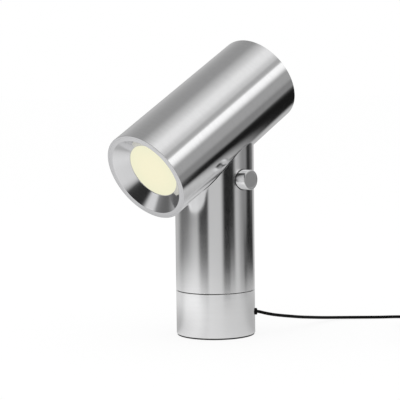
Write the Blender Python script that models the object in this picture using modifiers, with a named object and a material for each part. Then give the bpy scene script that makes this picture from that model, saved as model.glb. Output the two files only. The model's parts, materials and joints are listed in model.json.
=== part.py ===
"""Table lamp: a tilting head in the saddle of a swivelling stem, on a weighted base, with its cord.

The head faces -Y, its tilt axis lies along X, and the lamp stands on the plane z = 0. Lengths are in metres.
"""

import math

import bmesh
import bpy
import numpy as np
from mathutils import Matrix, Vector

# Clearances
GAP = 0.0003
RUN_GAP = 0.0006
OVERRUN = 0.004

# Facets of round pieces
FINE = 64
ROUND = 28
SMALL = 12

# Head
HEAD_RADIUS = 0.047
HEAD_WALL = 0.002
HEAD_FRONT = 0.110
HEAD_REAR = 0.076
HEAD_TILT_DEG = 30.0
TILT_RANGE_DEG = 30.0
SADDLE_GAP = 0.0005
ENVELOPE_STEPS = 3

# Tilt joint, measured from the point where the axes of head and stem cross
PIVOT_LIFT = 0.013
PIVOT_SETBACK = 0.0097
PIN_RADIUS = 0.0025
PIN_HEAD_RADIUS = 0.0045
PIN_HEAD_HEIGHT = 0.003
PIN_NUT_RADIUS = 0.0048
PIN_NUT_HEIGHT = 0.004
TONGUE_HALF = 0.0052
WASHER_THICK = 0.001
EAR_THICK = 0.0052
EAR_RADIUS = 0.005
CROTCH_DEPTH = 0.007
NECK_FLANGE_HALF = 0.017
NECK_FLANGE_DEPTH = 0.008
NECK_FLANGE_THICK = 0.004
SLOT_CLEARANCE = 0.0008
BRACKET_LENGTH = 0.028
BRACKET_HALF = 0.012
BRACKET_THICK = 0.006

# Stem
STEM_RADIUS = 0.040
STEM_WALL = 0.002
STEM_REACH = 0.1731
SEAM = 0.0006
STEM_PLATE_LIFT = 0.0012
STEM_PLATE_THICK = 0.005
BULKHEAD_THICK = 0.004
BULKHEAD_ROOM = 0.0176
LINER_GAP = 0.0012
LINER_THICK = 0.0016

# Base
BASE_HEIGHT = 0.0455
BASE_WALL = 0.003
BASE_TOP_THICK = 0.004
FOOT_THICK = 0.0012
FOOT_INSET = 0.0007
BOTTOM_PLATE_THICK = 0.0025
BALLAST_THICK = 0.0127
BALLAST_BORE = 0.008
BOSS_INSET = 0.0065
BOSS_RADIUS = 0.004
BOSS_COUNT = 3
BOSS_START_DEG = 72.0
SCREW_RADIUS = 0.0014
SCREW_HEAD_RADIUS = 0.0028
SCREW_HEAD_HEIGHT = 0.0014
SCREW_LENGTH = 0.009

# Swivel
SPINDLE_RADIUS = 0.006
SPINDLE_BORE = 0.0039
SPINDLE_FLANGE_RADIUS = 0.011
SPINDLE_FLANGE_THICK = 0.0025
SPINDLE_ABOVE_NUT = 0.003
THRUST_INSET = 0.007
SPRING_RADIUS = 0.012
SPRING_THICK = 0.0014
SWIVEL_NUT_RADIUS = 0.0105
SWIVEL_NUT_HEIGHT = 0.006
STOP_INSET = 0.013
STOP_RADIUS = 0.0015
STOP_SEAT = 0.002
STOP_GROOVE_DEPTH = 0.0027
SWIVEL_LIMIT_DEG = 160.0

# Dimmer and its knob
KNOB_ROOM = 0.0018
KNOB_RADIUS = 0.010
KNOB_PROUD = 0.0104
KNOB_CHAMFER = 0.0012
KNOB_FACE_THICK = 0.003
KNOB_INSET = 0.0044
SHAFT_RADIUS = 0.003
BUSH_RADIUS = 0.0045
DIMMER_RADIUS = 0.008
DIMMER_DEPTH = 0.007
DIMMER_WALL = 0.0017
DIMMER_SEAT = 0.007
DIMMER_HALF = 0.012
DIMMER_BELOW = 0.013
DIMMER_ABOVE = 0.012
DIMMER_NUT_RADIUS = 0.0068
DIMMER_NUT_HEIGHT = 0.0014

# Lamp electronics in the stem
BOARD_SIDE_ROOM = 0.016
BOARD_THICK = 0.0016
BOARD_BACK = 0.0137
BOARD_LIFT = 0.0057
BOARD_HEADROOM = 0.008
CLIP_THICK = 0.002
CLIP_FOOT = 0.014
CLIP_HALF = 0.010
CLIP_HEIGHT = 0.022
COIL_CORE_HALF = 0.007
COIL_CORE_DEPTH = 0.013
COIL_CORE_SHIFT = 0.012
COIL_CORE_SHARE = 0.42
CAPACITOR_RADIUS = 0.006
CAPACITOR_LENGTH = 0.016
WIRE_RADIUS = 0.0013
WIRE_STEP = 0.004
WIRE_END_GAP = 0.0008
WIRE_HOLE_RADIUS = 0.0024

# Light unit in the head, measured back from the head's front
RIM_WIDTH = 0.0058
THROAT_SHARE = 0.694
FUNNEL_DEPTH = 0.0117
FUNNEL_WALL = 0.0012
THROAT_LAND = 0.002
SKIRT_WALL = 0.0015
SKIRT_LENGTH = 0.026
DIFFUSER_LAP = 0.0017
DIFFUSER_THICK = 0.0025
MIXER_LIP = 0.0013
MIXER_WALL = 0.0022
MIXER_DEPTH = 0.010
LED_BOARD_THICK = 0.0016
LED_RADIUS = 0.010
LED_THICK = 0.001
SINK_THICK = 0.005
SINK_FIN_LENGTH = 0.038
SINK_FIN_ROOM = 0.0025
SINK_FIN_HEIGHT = 0.0295
SINK_FIN_HALF = 0.001
SINK_FIN_COUNT = 15
SINK_SCREW_INSET = 0.006
SINK_SCREW_DEPTH = 0.0055
SINK_WIRE_TURN_SHARE = 11.5 / SINK_FIN_COUNT
SINK_SCREW_TURN_SHARES = (0.0, 0.5)
REAR_CAP_THICK = 0.003

# Cord: where it leaves the base, its section and its real length
CORD_RADIUS = 0.0016
CORD_LENGTH = 1.8
CORD_STEP = 0.008
EXIT_AZIMUTH_DEG = 132.0
EXIT_HEIGHT = 0.0225
EXIT_DROOP = 0.0006
GLAND_BODY_RADIUS = 0.0025
GLAND_FLANGE_RADIUS = 0.0034
GLAND_PROUD = 0.0022
GLAND_EDGE = 0.0009
GLAND_NUT_RADIUS = 0.005
GLAND_NUT_THICK = 0.003
GLAND_INSIDE = 0.005

# The cord's free stretch from the gland to the coil
CORD_ROUTE = (
    (0.0361, 0.0348, 0.0204),
    (0.0418, 0.0401, 0.0189),
    (0.0443, 0.0491, 0.0171),
    (0.0448, 0.0629, 0.0146),
    (0.0431, 0.0820, 0.0112),
    (0.0398, 0.1026, 0.0079),
    (0.0384, 0.1240, 0.0048),
    (0.0411, 0.1443, 0.0026),
    (0.0527, 0.1610, 0.0019),
    (0.0705, 0.1786, 0.0018),
    (0.0882, 0.1963, 0.0019),
    (0.1020, 0.2021, 0.0021),
    (0.1200, 0.2030, 0.0025),
)
COIL_ENTRY = (0.140, 0.2028)
COIL_HEADING_DEG = 0.0
COIL_LEAVE_DEG = -60.0

# The coil that puts the rest of the cord away, its tie and the plug
COIL_RADIUS = 0.0187
COIL_PITCH = 0.0037
COIL_LAYERS = 4
COIL_FULL_TURNS = 13
COIL_POINTS = 24
TIE_THICK = 0.0008
TIE_WIDTH = 0.006
TIE_SIDE_ROOM = 0.0008
TAIL_LENGTH = 0.026
TAIL_RISE = 0.0042
RELIEF_LENGTH = 0.020
RELIEF_RADIUS = 0.0038
PLUG_LENGTH = 0.058
PLUG_WIDTH = 0.026
PLUG_CORNER = 0.004
PLUG_PIN_SPACING = 0.019
PLUG_PIN_RADIUS = 0.002
PLUG_PIN_LENGTH = 0.019
PLUG_PIN_SHIFT = 0.012

# Places that follow from the sizes above
TILT = math.radians(HEAD_TILT_DEG)
STEM_INNER = STEM_RADIUS - STEM_WALL
HEAD_INNER = HEAD_RADIUS - HEAD_WALL
SEATED_IN_STEM = STEM_INNER - GAP
SEATED_IN_HEAD = HEAD_INNER - GAP
HOUSING_FOOT = FOOT_THICK + GAP
BASE_INNER = STEM_RADIUS - BASE_WALL
BOSS_CIRCLE = BASE_INNER - BOSS_INSET
STOP_CIRCLE = STEM_RADIUS - STOP_INSET
THRUST_RADIUS = STOP_CIRCLE - THRUST_INSET
BASE_CEILING = BASE_HEIGHT - BASE_TOP_THICK
STEM_FOOT = BASE_HEIGHT + SEAM
STEM_PLATE_LOW = STEM_FOOT + STEM_PLATE_LIFT
STEM_PLATE_HIGH = STEM_PLATE_LOW + STEM_PLATE_THICK
SWIVEL_NUT_LOW = STEM_PLATE_HIGH + GAP + SPRING_THICK + GAP
SWIVEL_NUT_HIGH = SWIVEL_NUT_LOW + SWIVEL_NUT_HEIGHT
SPINDLE_TOP = SWIVEL_NUT_HIGH + SPINDLE_ABOVE_NUT
EAR_INNER = TONGUE_HALF + GAP + WASHER_THICK + GAP
EAR_OUTER = EAR_INNER + EAR_THICK
HEAD_CROSSING = STEM_FOOT + STEM_REACH
DIMMER_BACK = SEATED_IN_STEM - DIMMER_SEAT - GAP - DIMMER_DEPTH
LINER_DIP = math.sqrt((HEAD_RADIUS + LINER_GAP + LINER_THICK) ** 2 - DIMMER_BACK**2) / math.cos(TILT)
KNOB_HEIGHT = HEAD_CROSSING - LINER_DIP - DIMMER_RADIUS - KNOB_ROOM
BULKHEAD_TOP = KNOB_HEIGHT - DIMMER_BELOW - BULKHEAD_ROOM
BULKHEAD_HEIGHT = BULKHEAD_TOP - BULKHEAD_THICK
BOARD_HALF = STEM_INNER - BOARD_SIDE_ROOM
BOARD_LOW = STEM_PLATE_HIGH + BOARD_LIFT
BOARD_HIGH = BULKHEAD_HEIGHT - BOARD_HEADROOM
COIL_CORE_HEIGHT = BOARD_LOW + (BOARD_HIGH - BOARD_LOW) * COIL_CORE_SHARE
PIVOT_DROP = HEAD_RADIUS - PIVOT_LIFT
PIVOT_Y = STEM_INNER - PIVOT_SETBACK
PIVOT_BACK = (PIVOT_Y - PIVOT_DROP * math.sin(TILT)) / math.cos(TILT)
PIVOT_Z = HEAD_CROSSING + PIVOT_BACK * math.sin(TILT) - PIVOT_DROP * math.cos(TILT)
RIM_INNER = HEAD_RADIUS - RIM_WIDTH
THROAT_RADIUS = RIM_INNER * THROAT_SHARE
DIFFUSER_RADIUS = THROAT_RADIUS + DIFFUSER_LAP
FUNNEL_BACK = HEAD_FRONT - FUNNEL_DEPTH - THROAT_LAND
DIFFUSER_BACK = FUNNEL_BACK - GAP - DIFFUSER_THICK
MIXER_BACK = DIFFUSER_BACK - GAP - MIXER_DEPTH
SINK_FRONT = MIXER_BACK - GAP
SINK_BACK = SINK_FRONT - SINK_THICK
LED_BOARD_RADIUS = DIFFUSER_RADIUS - MIXER_WALL
SINK_SCREW_CIRCLE = LED_BOARD_RADIUS - SINK_SCREW_INSET
SINK_FIN_RADIUS = HEAD_INNER - SINK_FIN_ROOM
SINK_HUB_RADIUS = SINK_FIN_RADIUS - SINK_FIN_HEIGHT
COIL_LIFT = TIE_THICK + GAP
COIL_TURNS = COIL_FULL_TURNS + (COIL_HEADING_DEG - COIL_LEAVE_DEG) / 360
COIL_LAYER_TURNS = COIL_TURNS / COIL_LAYERS
COIL_OUTER = COIL_RADIUS + COIL_PITCH * COIL_LAYER_TURNS / 2
COIL_INNER = COIL_RADIUS - COIL_PITCH * COIL_LAYER_TURNS / 2
COIL_FLOOR = COIL_LIFT + CORD_RADIUS
COIL_TOP = COIL_FLOOR + (COIL_LAYERS - 1) * COIL_PITCH
PLUG_HEIGHT = 2 * (COIL_TOP + TAIL_RISE)


def clear_scene():
    """Remove the objects that the file opened with. Return a collection for parts and one for cutters."""
    for obj in list(bpy.data.objects):
        bpy.data.objects.remove(obj)
    made = []
    for name in ("table_lamp", "cutters"):
        collection = bpy.data.collections.new(name)
        bpy.context.scene.collection.children.link(collection)
        made.append(collection)
    made[1].hide_render = True
    return made


PARTS, CUTTERS = clear_scene()


def finish(name, colour, roughness, metallic):
    """A Principled material."""
    material = bpy.data.materials.new(name)
    material.use_nodes = True
    shader = material.node_tree.nodes["Principled BSDF"]
    shader.inputs["Base Color"].default_value = (*colour, 1)
    shader.inputs["Roughness"].default_value = roughness
    shader.inputs["Metallic"].default_value = metallic
    material.diffuse_color = (*colour, 1)
    return material


ALUMINIUM = finish("brushed_aluminium", (0.72, 0.72, 0.72), 0.28, 1)
REFLECTOR = finish("polished_reflector", (0.80, 0.80, 0.80), 0.15, 1)
STEEL = finish("zinc_plated_steel", (0.55, 0.55, 0.56), 0.35, 1)
IRON = finish("cast_iron", (0.10, 0.10, 0.11), 0.6, 0.8)
BRASS = finish("brass", (0.76, 0.58, 0.28), 0.3, 1)
BLACK = finish("black_plastic", (0.02, 0.02, 0.02), 0.45, 0)
WHITE = finish("white_plastic", (0.85, 0.85, 0.83), 0.5, 0)
RUBBER = finish("black_rubber", (0.015, 0.015, 0.015), 0.7, 0)
OPAL = finish("opal_diffuser", (0.94, 0.92, 0.80), 0.4, 0)
PHOSPHOR = finish("led_phosphor", (0.90, 0.75, 0.25), 0.5, 0)
BOARD = finish("circuit_board", (0.03, 0.20, 0.09), 0.5, 0)
CORD = finish("cord_jacket", (0.012, 0.012, 0.012), 0.5, 0)


def add_object(name, data, material, parent=None):
    """An object for a piece, or for a cutter when it has no material."""
    obj = bpy.data.objects.new(name, data)
    if material is None:
        CUTTERS.objects.link(obj)
        obj.hide_render = True
        obj.display_type = "WIRE"
    else:
        PARTS.objects.link(obj)
        data.materials.append(material)
    if parent is not None:
        obj.parent = parent
    return obj


def mesh_object(name, mesh, material, parent=None, smooth_deg=30.0):
    """An object from a bmesh, with its round faces shaded smooth."""
    bmesh.ops.recalc_face_normals(mesh, faces=mesh.faces)
    data = bpy.data.meshes.new(name)
    mesh.to_mesh(data)
    mesh.free()
    data.shade_smooth()
    data.set_sharp_from_angle(angle=math.radians(smooth_deg))
    return add_object(name, data, material, parent)


def empty(name, location, rotation=(0, 0, 0), parent=None):
    """An empty that carries the pieces of one sub-assembly."""
    obj = bpy.data.objects.new(name, None)
    PARTS.objects.link(obj)
    obj.location = location
    obj.rotation_euler = rotation
    obj.parent = parent
    return obj


def drum(name, radius, low, high, material=None, parent=None, at=(0, 0), facets=ROUND, top_radius=None):
    """A solid cylinder or cone along Z between two heights."""
    mesh = bmesh.new()
    bmesh.ops.create_cone(
        mesh,
        cap_ends=True,
        segments=facets,
        radius1=radius,
        radius2=radius if top_radius is None else top_radius,
        depth=high - low,
        matrix=Matrix.Translation((at[0], at[1], (low + high) / 2)),
    )
    return mesh_object(name, mesh, material, parent)


def cross_drum(name, radius, left, right, y, z, material=None, parent=None, facets=ROUND):
    """A solid cylinder along X."""
    mesh = bmesh.new()
    place = Matrix.Translation(((left + right) / 2, y, z)) @ Matrix.Rotation(math.pi / 2, 4, "Y")
    bmesh.ops.create_cone(
        mesh, cap_ends=True, segments=facets, radius1=radius, radius2=radius, depth=right - left, matrix=place
    )
    return mesh_object(name, mesh, material, parent)


def block(name, low, high, material=None, parent=None):
    """A box between two corners."""
    low, high = Vector(low), Vector(high)
    size = high - low
    mesh = bmesh.new()
    bmesh.ops.create_cube(
        mesh, size=1, matrix=Matrix.Translation((low + high) / 2) @ Matrix.Diagonal((*size, 1))
    )
    return mesh_object(name, mesh, material, parent)


def turned(name, profile, material=None, parent=None, closed=True, facets=ROUND):
    """A piece turned about Z from a profile of (radius, height) points that runs down its outer side."""
    data = bpy.data.meshes.new(name)
    edges = [(i, i + 1) for i in range(len(profile) - 1)]
    if closed:
        edges.append((len(profile) - 1, 0))
    data.from_pydata([(r, 0, z) for r, z in profile], edges, [])
    obj = add_object(name, data, material, parent)
    screw = obj.modifiers.new("turn", "SCREW")
    screw.steps = screw.render_steps = facets
    screw.use_merge_vertices = True
    screw.merge_threshold = 0.00001
    screw.use_smooth_shade = True
    return obj


def washer(name, inner, outer, low, high, material=None, parent=None, facets=ROUND):
    """A flat ring."""
    return turned(
        name, [(outer, high), (outer, low), (inner, low), (inner, high)], material, parent, facets=facets
    )


def boolean(obj, other, operation):
    """Cut, join or intersect one object with another, which stays out of the parts."""
    modifier = obj.modifiers.new(operation.lower(), "BOOLEAN")
    modifier.operation = operation
    modifier.object = other


def cut(obj, *others):
    """Take the others away from the object."""
    for other in others:
        boolean(obj, other, "DIFFERENCE")


def join(obj, *others):
    """Fuse the others to the object."""
    for other in others:
        boolean(obj, other, "UNION")


def rounded(obj, width, segments=2):
    """Round every edge sharper than a facet's."""
    bevel = obj.modifiers.new("round", "BEVEL")
    bevel.width = width
    bevel.segments = segments
    bevel.limit_method = "ANGLE"
    bevel.angle_limit = math.radians(40)


def screw(name, head_radius, head_height, radius, length, material, parent, at, head_low, point_down):
    """A screw along Z: a head and a shank that points down or up from it."""
    head_high = head_low + head_height
    if point_down:
        profile = [(0, head_high), (head_radius, head_high), (head_radius, head_low), (radius, head_low)]
        profile += [(radius, head_low - length), (0, head_low - length)]
    else:
        profile = [(0, head_high + length), (radius, head_high + length), (radius, head_high)]
        profile += [(head_radius, head_high), (head_radius, head_low), (0, head_low)]
    obj = turned(name, profile, material, parent, closed=False, facets=SMALL)
    obj.location = (at[0], at[1], 0)
    return obj


def nut(name, radius, bore, low, high, material, parent):
    """A hexagon nut along Z."""
    obj = drum(name, radius, low, high, material, parent, facets=6)
    cut(obj, drum(name + "_bore", bore, low - OVERRUN, high + OVERRUN, None, parent, facets=SMALL))
    return obj


def around(radius, degrees):
    """A point on a circle about the upright axis. Zero faces -Y and the angle grows towards +X."""
    angle = math.radians(degrees)
    return radius * math.sin(angle), -radius * math.cos(angle)


def smooth_path(points, step):
    """Points at an even spacing along a smooth curve through the given ones."""
    points = [np.array(p, float) for p in points]
    points = [2 * points[0] - points[1]] + points + [2 * points[-1] - points[-2]]
    dense = []
    for a, b, c, d in zip(points, points[1:], points[2:], points[3:]):
        for t in np.linspace(0, 1, 40, endpoint=False):
            bend = (2 * a - 5 * b + 4 * c - d) * t**2 + (3 * b - a - 3 * c + d) * t**3
            dense.append((2 * b + (c - a) * t + bend) / 2)
    dense.append(points[-2])
    dense = np.array(dense)
    along = np.concatenate([[0], np.cumsum(np.linalg.norm(np.diff(dense, axis=0), axis=1))])
    count = max(2, round(along[-1] / step) + 1)
    wanted = np.linspace(0, along[-1], count)
    return np.stack([np.interp(wanted, along, dense[:, i]) for i in range(3)], axis=1)


def path_length(points):
    """The length of a line through points."""
    return float(np.linalg.norm(np.diff(np.asarray(points), axis=0), axis=1).sum())


def tube(name, points, radius, material, parent=None, sides=1):
    """A round tube along a line of points, with closed ends."""
    data = bpy.data.curves.new(name, "CURVE")
    data.dimensions = "3D"
    data.bevel_depth = radius
    data.bevel_resolution = sides
    data.use_fill_caps = True
    spline = data.splines.new("POLY")
    spline.points.add(len(points) - 1)
    for place, point in zip(spline.points, points):
        place.co = (*point, 1)
    return add_object(name, data, material, parent)


def head_envelope(name, clearance, facets):
    """The head's outer cylinder, grown by a clearance, at each of several tilts from nested to raised."""
    for step in range(ENVELOPE_STEPS + 1):
        lift = math.radians(TILT_RANGE_DEG) * step / ENVELOPE_STEPS
        obj = drum(f"{name}_{step}", HEAD_RADIUS + clearance, -HEAD_REAR, HEAD_FRONT, facets=facets)
        turn = Matrix.Rotation(math.pi / 2 + TILT - lift, 4, "X")
        offset = Matrix.Translation((0, PIVOT_DROP, PIVOT_BACK))
        obj.matrix_world = Matrix.Translation((0, PIVOT_Y, PIVOT_Z)) @ turn @ offset
        yield obj


def make_base(root):
    """Housing, foot, bottom plate, ballast and their screws."""
    housing = turned(
        "base_housing",
        [
            (STEM_RADIUS, BASE_HEIGHT),
            (STEM_RADIUS, HOUSING_FOOT),
            (BASE_INNER, HOUSING_FOOT),
            (BASE_INNER, BASE_CEILING),
            (SPINDLE_RADIUS + GAP, BASE_CEILING),
            (SPINDLE_RADIUS + GAP, BASE_HEIGHT),
        ],
        ALUMINIUM,
        root,
        facets=FINE,
    )
    drum("foot_pad", STEM_RADIUS - FOOT_INSET, 0, FOOT_THICK, RUBBER, root, facets=FINE)
    plate_top = HOUSING_FOOT + BOTTOM_PLATE_THICK
    plate = drum("bottom_plate", BASE_INNER - GAP, HOUSING_FOOT, plate_top, STEEL, root)
    ballast_low = plate_top + GAP
    ballast_high = ballast_low + BALLAST_THICK
    ballast = washer("ballast_weight", BALLAST_BORE, BASE_INNER - GAP, ballast_low, ballast_high, IRON, root)
    for i in range(BOSS_COUNT):
        place = around(BOSS_CIRCLE, BOSS_START_DEG + 360 / BOSS_COUNT * i)
        boss_top = BASE_CEILING + BASE_TOP_THICK / 2
        join(housing, drum(f"boss_{i}", BOSS_RADIUS, plate_top + GAP, boss_top, None, root, place, SMALL))
        hole_top = HOUSING_FOOT + SCREW_HEAD_HEIGHT + SCREW_LENGTH + RUN_GAP
        pilot = drum(f"pilot_{i}", SCREW_RADIUS + GAP, -OVERRUN, hole_top, None, root, place, SMALL)
        cut(housing, pilot)
        cut(plate, pilot)
        head_room = HOUSING_FOOT + SCREW_HEAD_HEIGHT + GAP
        cut(plate, drum(f"sink_{i}", SCREW_HEAD_RADIUS + GAP, -OVERRUN, head_room, None, root, place, SMALL))
        boss_room = BOSS_RADIUS + GAP
        cut(ballast, drum(f"boss_room_{i}", boss_room, 0, BASE_HEIGHT, None, root, place, SMALL))
        screw(
            f"base_screw_{i + 1}",
            SCREW_HEAD_RADIUS,
            SCREW_HEAD_HEIGHT,
            SCREW_RADIUS,
            SCREW_LENGTH,
            STEEL,
            root,
            place,
            HOUSING_FOOT,
            point_down=False,
        )
    make_gland(root, housing)
    return housing


def make_gland(root, housing):
    """The grommet that the cord leaves the base through, its nut and its hole."""
    x, y = around(1, EXIT_AZIMUTH_DEG)
    outward = Vector((x, y, 0))
    turn = outward.to_track_quat("Z", "Y").to_euler()
    axis = empty("gland_axis", (0, 0, EXIT_HEIGHT), turn, root)
    face = STEM_RADIUS + GLAND_PROUD
    seat = STEM_RADIUS + GAP
    inner_end = BASE_INNER - GLAND_INSIDE
    profile = [
        (CORD_RADIUS + GAP, face),
        (GLAND_FLANGE_RADIUS - GLAND_EDGE, face),
        (GLAND_FLANGE_RADIUS, face - GLAND_EDGE),
        (GLAND_FLANGE_RADIUS, seat),
        (GLAND_BODY_RADIUS, seat),
        (GLAND_BODY_RADIUS, inner_end),
        (CORD_RADIUS + GAP, inner_end),
    ]
    turned("cord_gland", profile, RUBBER, axis, facets=SMALL)
    hole = drum(
        "gland_hole", GLAND_BODY_RADIUS + GAP, BASE_INNER / 2, STEM_RADIUS + OVERRUN, None, axis, facets=SMALL
    )
    cut(housing, hole)
    nut_outer = BASE_INNER - RUN_GAP
    bore = GLAND_BODY_RADIUS + GAP
    nut("gland_nut", GLAND_NUT_RADIUS, bore, nut_outer - GLAND_NUT_THICK, nut_outer, BLACK, axis)


def make_swivel(root, stem_axis, housing):
    """Hollow spindle, thrust washer, spring washer, nut, stop pin and the stem's grooved bottom plate."""
    bore = SPINDLE_RADIUS + GAP
    flange_top = BASE_CEILING - GAP
    flange_low = flange_top - SPINDLE_FLANGE_THICK
    turned(
        "swivel_spindle",
        [
            (SPINDLE_RADIUS, SPINDLE_TOP),
            (SPINDLE_RADIUS, flange_top),
            (SPINDLE_FLANGE_RADIUS, flange_top),
            (SPINDLE_FLANGE_RADIUS, flange_low),
            (SPINDLE_BORE, flange_low),
            (SPINDLE_BORE, SPINDLE_TOP),
        ],
        STEEL,
        root,
    )
    washer("thrust_washer", bore, THRUST_RADIUS, BASE_HEIGHT + GAP, STEM_PLATE_LOW - GAP, WHITE, root)
    plate = washer("stem_plate", bore, SEATED_IN_STEM, STEM_PLATE_LOW, STEM_PLATE_HIGH, ALUMINIUM, stem_axis)
    spring_low = STEM_PLATE_HIGH + GAP
    washer("spring_washer", bore, SPRING_RADIUS, spring_low, spring_low + SPRING_THICK, STEEL, stem_axis)
    nut("swivel_nut", SWIVEL_NUT_RADIUS, bore, SWIVEL_NUT_LOW, SWIVEL_NUT_HIGH, STEEL, root)
    pin_low = BASE_HEIGHT - STOP_SEAT
    groove_top = STEM_PLATE_LOW + STOP_GROOVE_DEPTH
    place = (0, STOP_CIRCLE)
    drum("swivel_stop_pin", STOP_RADIUS, pin_low, groove_top - RUN_GAP, STEEL, root, place, SMALL)
    seat_low = pin_low - GAP
    cut(housing, drum("stop_seat", STOP_RADIUS + GAP, seat_low, STEM_FOOT, None, root, place, SMALL))
    groove_half = STOP_RADIUS + RUN_GAP
    inner = STOP_CIRCLE - groove_half
    outer = STOP_CIRCLE + groove_half
    groove = washer("stop_groove", inner, outer, STEM_FOOT, groove_top, None, stem_axis)
    pin_angle = math.asin(groove_half / STOP_CIRCLE)
    web_half = STOP_CIRCLE * math.tan(math.pi - math.radians(SWIVEL_LIMIT_DEG) - pin_angle)
    web = block("stop_web", (-web_half, -STEM_RADIUS, 0), (web_half, 0, HEAD_CROSSING), None, stem_axis)
    cut(groove, web)
    cut(plate, groove)


def make_stem(stem_axis):
    """Tube with its saddle, bulkhead, liner and the neck that carries the head."""
    low = STEM_FOOT
    tube_body = washer("stem_tube", STEM_INNER, STEM_RADIUS, low, HEAD_CROSSING, ALUMINIUM, stem_axis, FINE)
    cut(tube_body, *head_envelope("saddle", SADDLE_GAP, FINE))
    hole_radius = KNOB_RADIUS + RUN_GAP
    cut(
        tube_body,
        cross_drum("knob_hole", hole_radius, STEM_RADIUS / 2, STEM_RADIUS + OVERRUN, 0, KNOB_HEIGHT),
    )
    bulkhead = drum("stem_bulkhead", SEATED_IN_STEM, BULKHEAD_HEIGHT, BULKHEAD_TOP, ALUMINIUM, stem_axis)
    below, above = BULKHEAD_HEIGHT - OVERRUN, BULKHEAD_TOP + OVERRUN
    cut(
        bulkhead, drum("head_wire_hole", WIRE_HOLE_RADIUS, below, above, None, stem_axis, (0, PIVOT_Y), SMALL)
    )
    dimmer_wire = (DIMMER_HALF, BOARD_BACK / 2)
    cut(
        bulkhead,
        drum("dimmer_wire_hole", WIRE_HOLE_RADIUS, below, above, None, stem_axis, dimmer_wire, SMALL),
    )
    liner = drum(
        "saddle_liner", SEATED_IN_STEM, BULKHEAD_TOP + GAP, HEAD_CROSSING, BLACK, stem_axis, facets=FINE
    )
    cut(liner, *head_envelope("liner_face", LINER_GAP, ROUND))
    core = drum("liner_core", STEM_RADIUS, BULKHEAD_HEIGHT, HEAD_CROSSING - OVERRUN, facets=ROUND)
    cut(core, *head_envelope("liner_back", LINER_GAP + LINER_THICK, ROUND))
    cut(liner, core)
    make_neck(stem_axis, bulkhead, liner)


def make_neck(stem_axis, bulkhead, liner):
    """The forked post from the bulkhead to the tilt pin, with pin, nut and friction washers."""
    foot = BULKHEAD_TOP + GAP
    front, back = PIVOT_Y - EAR_RADIUS, PIVOT_Y + EAR_RADIUS
    neck = block("neck_bracket", (-EAR_OUTER, front, foot), (EAR_OUTER, back, PIVOT_Z), STEEL, stem_axis)
    join(neck, cross_drum("ear_tops", EAR_RADIUS, -EAR_OUTER, EAR_OUTER, PIVOT_Y, PIVOT_Z, facets=SMALL))
    flange_low = (-NECK_FLANGE_HALF, PIVOT_Y - NECK_FLANGE_DEPTH, foot)
    flange_high = (NECK_FLANGE_HALF, PIVOT_Y + EAR_RADIUS / 2, foot + NECK_FLANGE_THICK)
    join(neck, block("neck_flange", flange_low, flange_high))
    crotch = PIVOT_Z - CROTCH_DEPTH
    fork_low = (-EAR_INNER, front - OVERRUN, crotch)
    cut(neck, block("fork", fork_low, (EAR_INNER, back + OVERRUN, PIVOT_Z + OVERRUN + EAR_RADIUS)))
    pin_hole = PIN_RADIUS + GAP
    past_ears = EAR_OUTER + OVERRUN
    cut(neck, cross_drum("neck_pin_hole", pin_hole, -past_ears, past_ears, PIVOT_Y, PIVOT_Z, facets=SMALL))
    cut(
        neck,
        drum(
            "neck_wire_hole",
            WIRE_HOLE_RADIUS,
            foot - OVERRUN,
            crotch + OVERRUN,
            None,
            None,
            (0, PIVOT_Y),
            SMALL,
        ),
    )
    screw_x = (NECK_FLANGE_HALF + EAR_OUTER) / 2
    for side, label in ((-1, "left"), (1, "right")):
        place = (side * screw_x, PIVOT_Y - EAR_RADIUS / 2)
        hole = drum(
            f"neck_screw_hole_{label}",
            SCREW_RADIUS + GAP,
            BULKHEAD_HEIGHT - OVERRUN,
            PIVOT_Z,
            at=place,
            facets=SMALL,
        )
        cut(neck, hole)
        cut(bulkhead, hole)
        screw(
            f"neck_screw_{label}",
            SCREW_HEAD_RADIUS - GAP,
            SCREW_HEAD_HEIGHT,
            SCREW_RADIUS,
            SCREW_LENGTH - GAP,
            STEEL,
            stem_axis,
            place,
            foot + NECK_FLANGE_THICK + GAP,
            point_down=True,
        )
    room_low = (-EAR_OUTER - GAP, front - GAP, foot)
    cut(liner, block("neck_room", room_low, (EAR_OUTER + GAP, back + GAP, PIVOT_Z)))
    head_seat = EAR_OUTER + GAP
    pin_end = head_seat + PIN_NUT_HEIGHT + RUN_GAP
    pin = cross_drum("pivot_pin", PIN_RADIUS, -head_seat, pin_end, PIVOT_Y, PIVOT_Z, STEEL, stem_axis, SMALL)
    head_end = -head_seat - PIN_HEAD_HEIGHT
    pin_head = cross_drum("pin_head", PIN_HEAD_RADIUS, head_end, -head_seat, PIVOT_Y, PIVOT_Z, facets=SMALL)
    join(pin, pin_head)
    nut_axis = empty("pivot_nut_axis", (0, PIVOT_Y, PIVOT_Z), (0, math.pi / 2, 0), stem_axis)
    nut("pivot_nut", PIN_NUT_RADIUS, pin_hole, head_seat, head_seat + PIN_NUT_HEIGHT, STEEL, nut_axis)
    for side, label in ((-1, "left"), (1, "right")):
        inner = TONGUE_HALF + GAP
        low, high = sorted((side * inner, side * (inner + WASHER_THICK)))
        washer(f"friction_washer_{label}", pin_hole, EAR_RADIUS - GAP, low, high, WHITE, nut_axis, SMALL)


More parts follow.
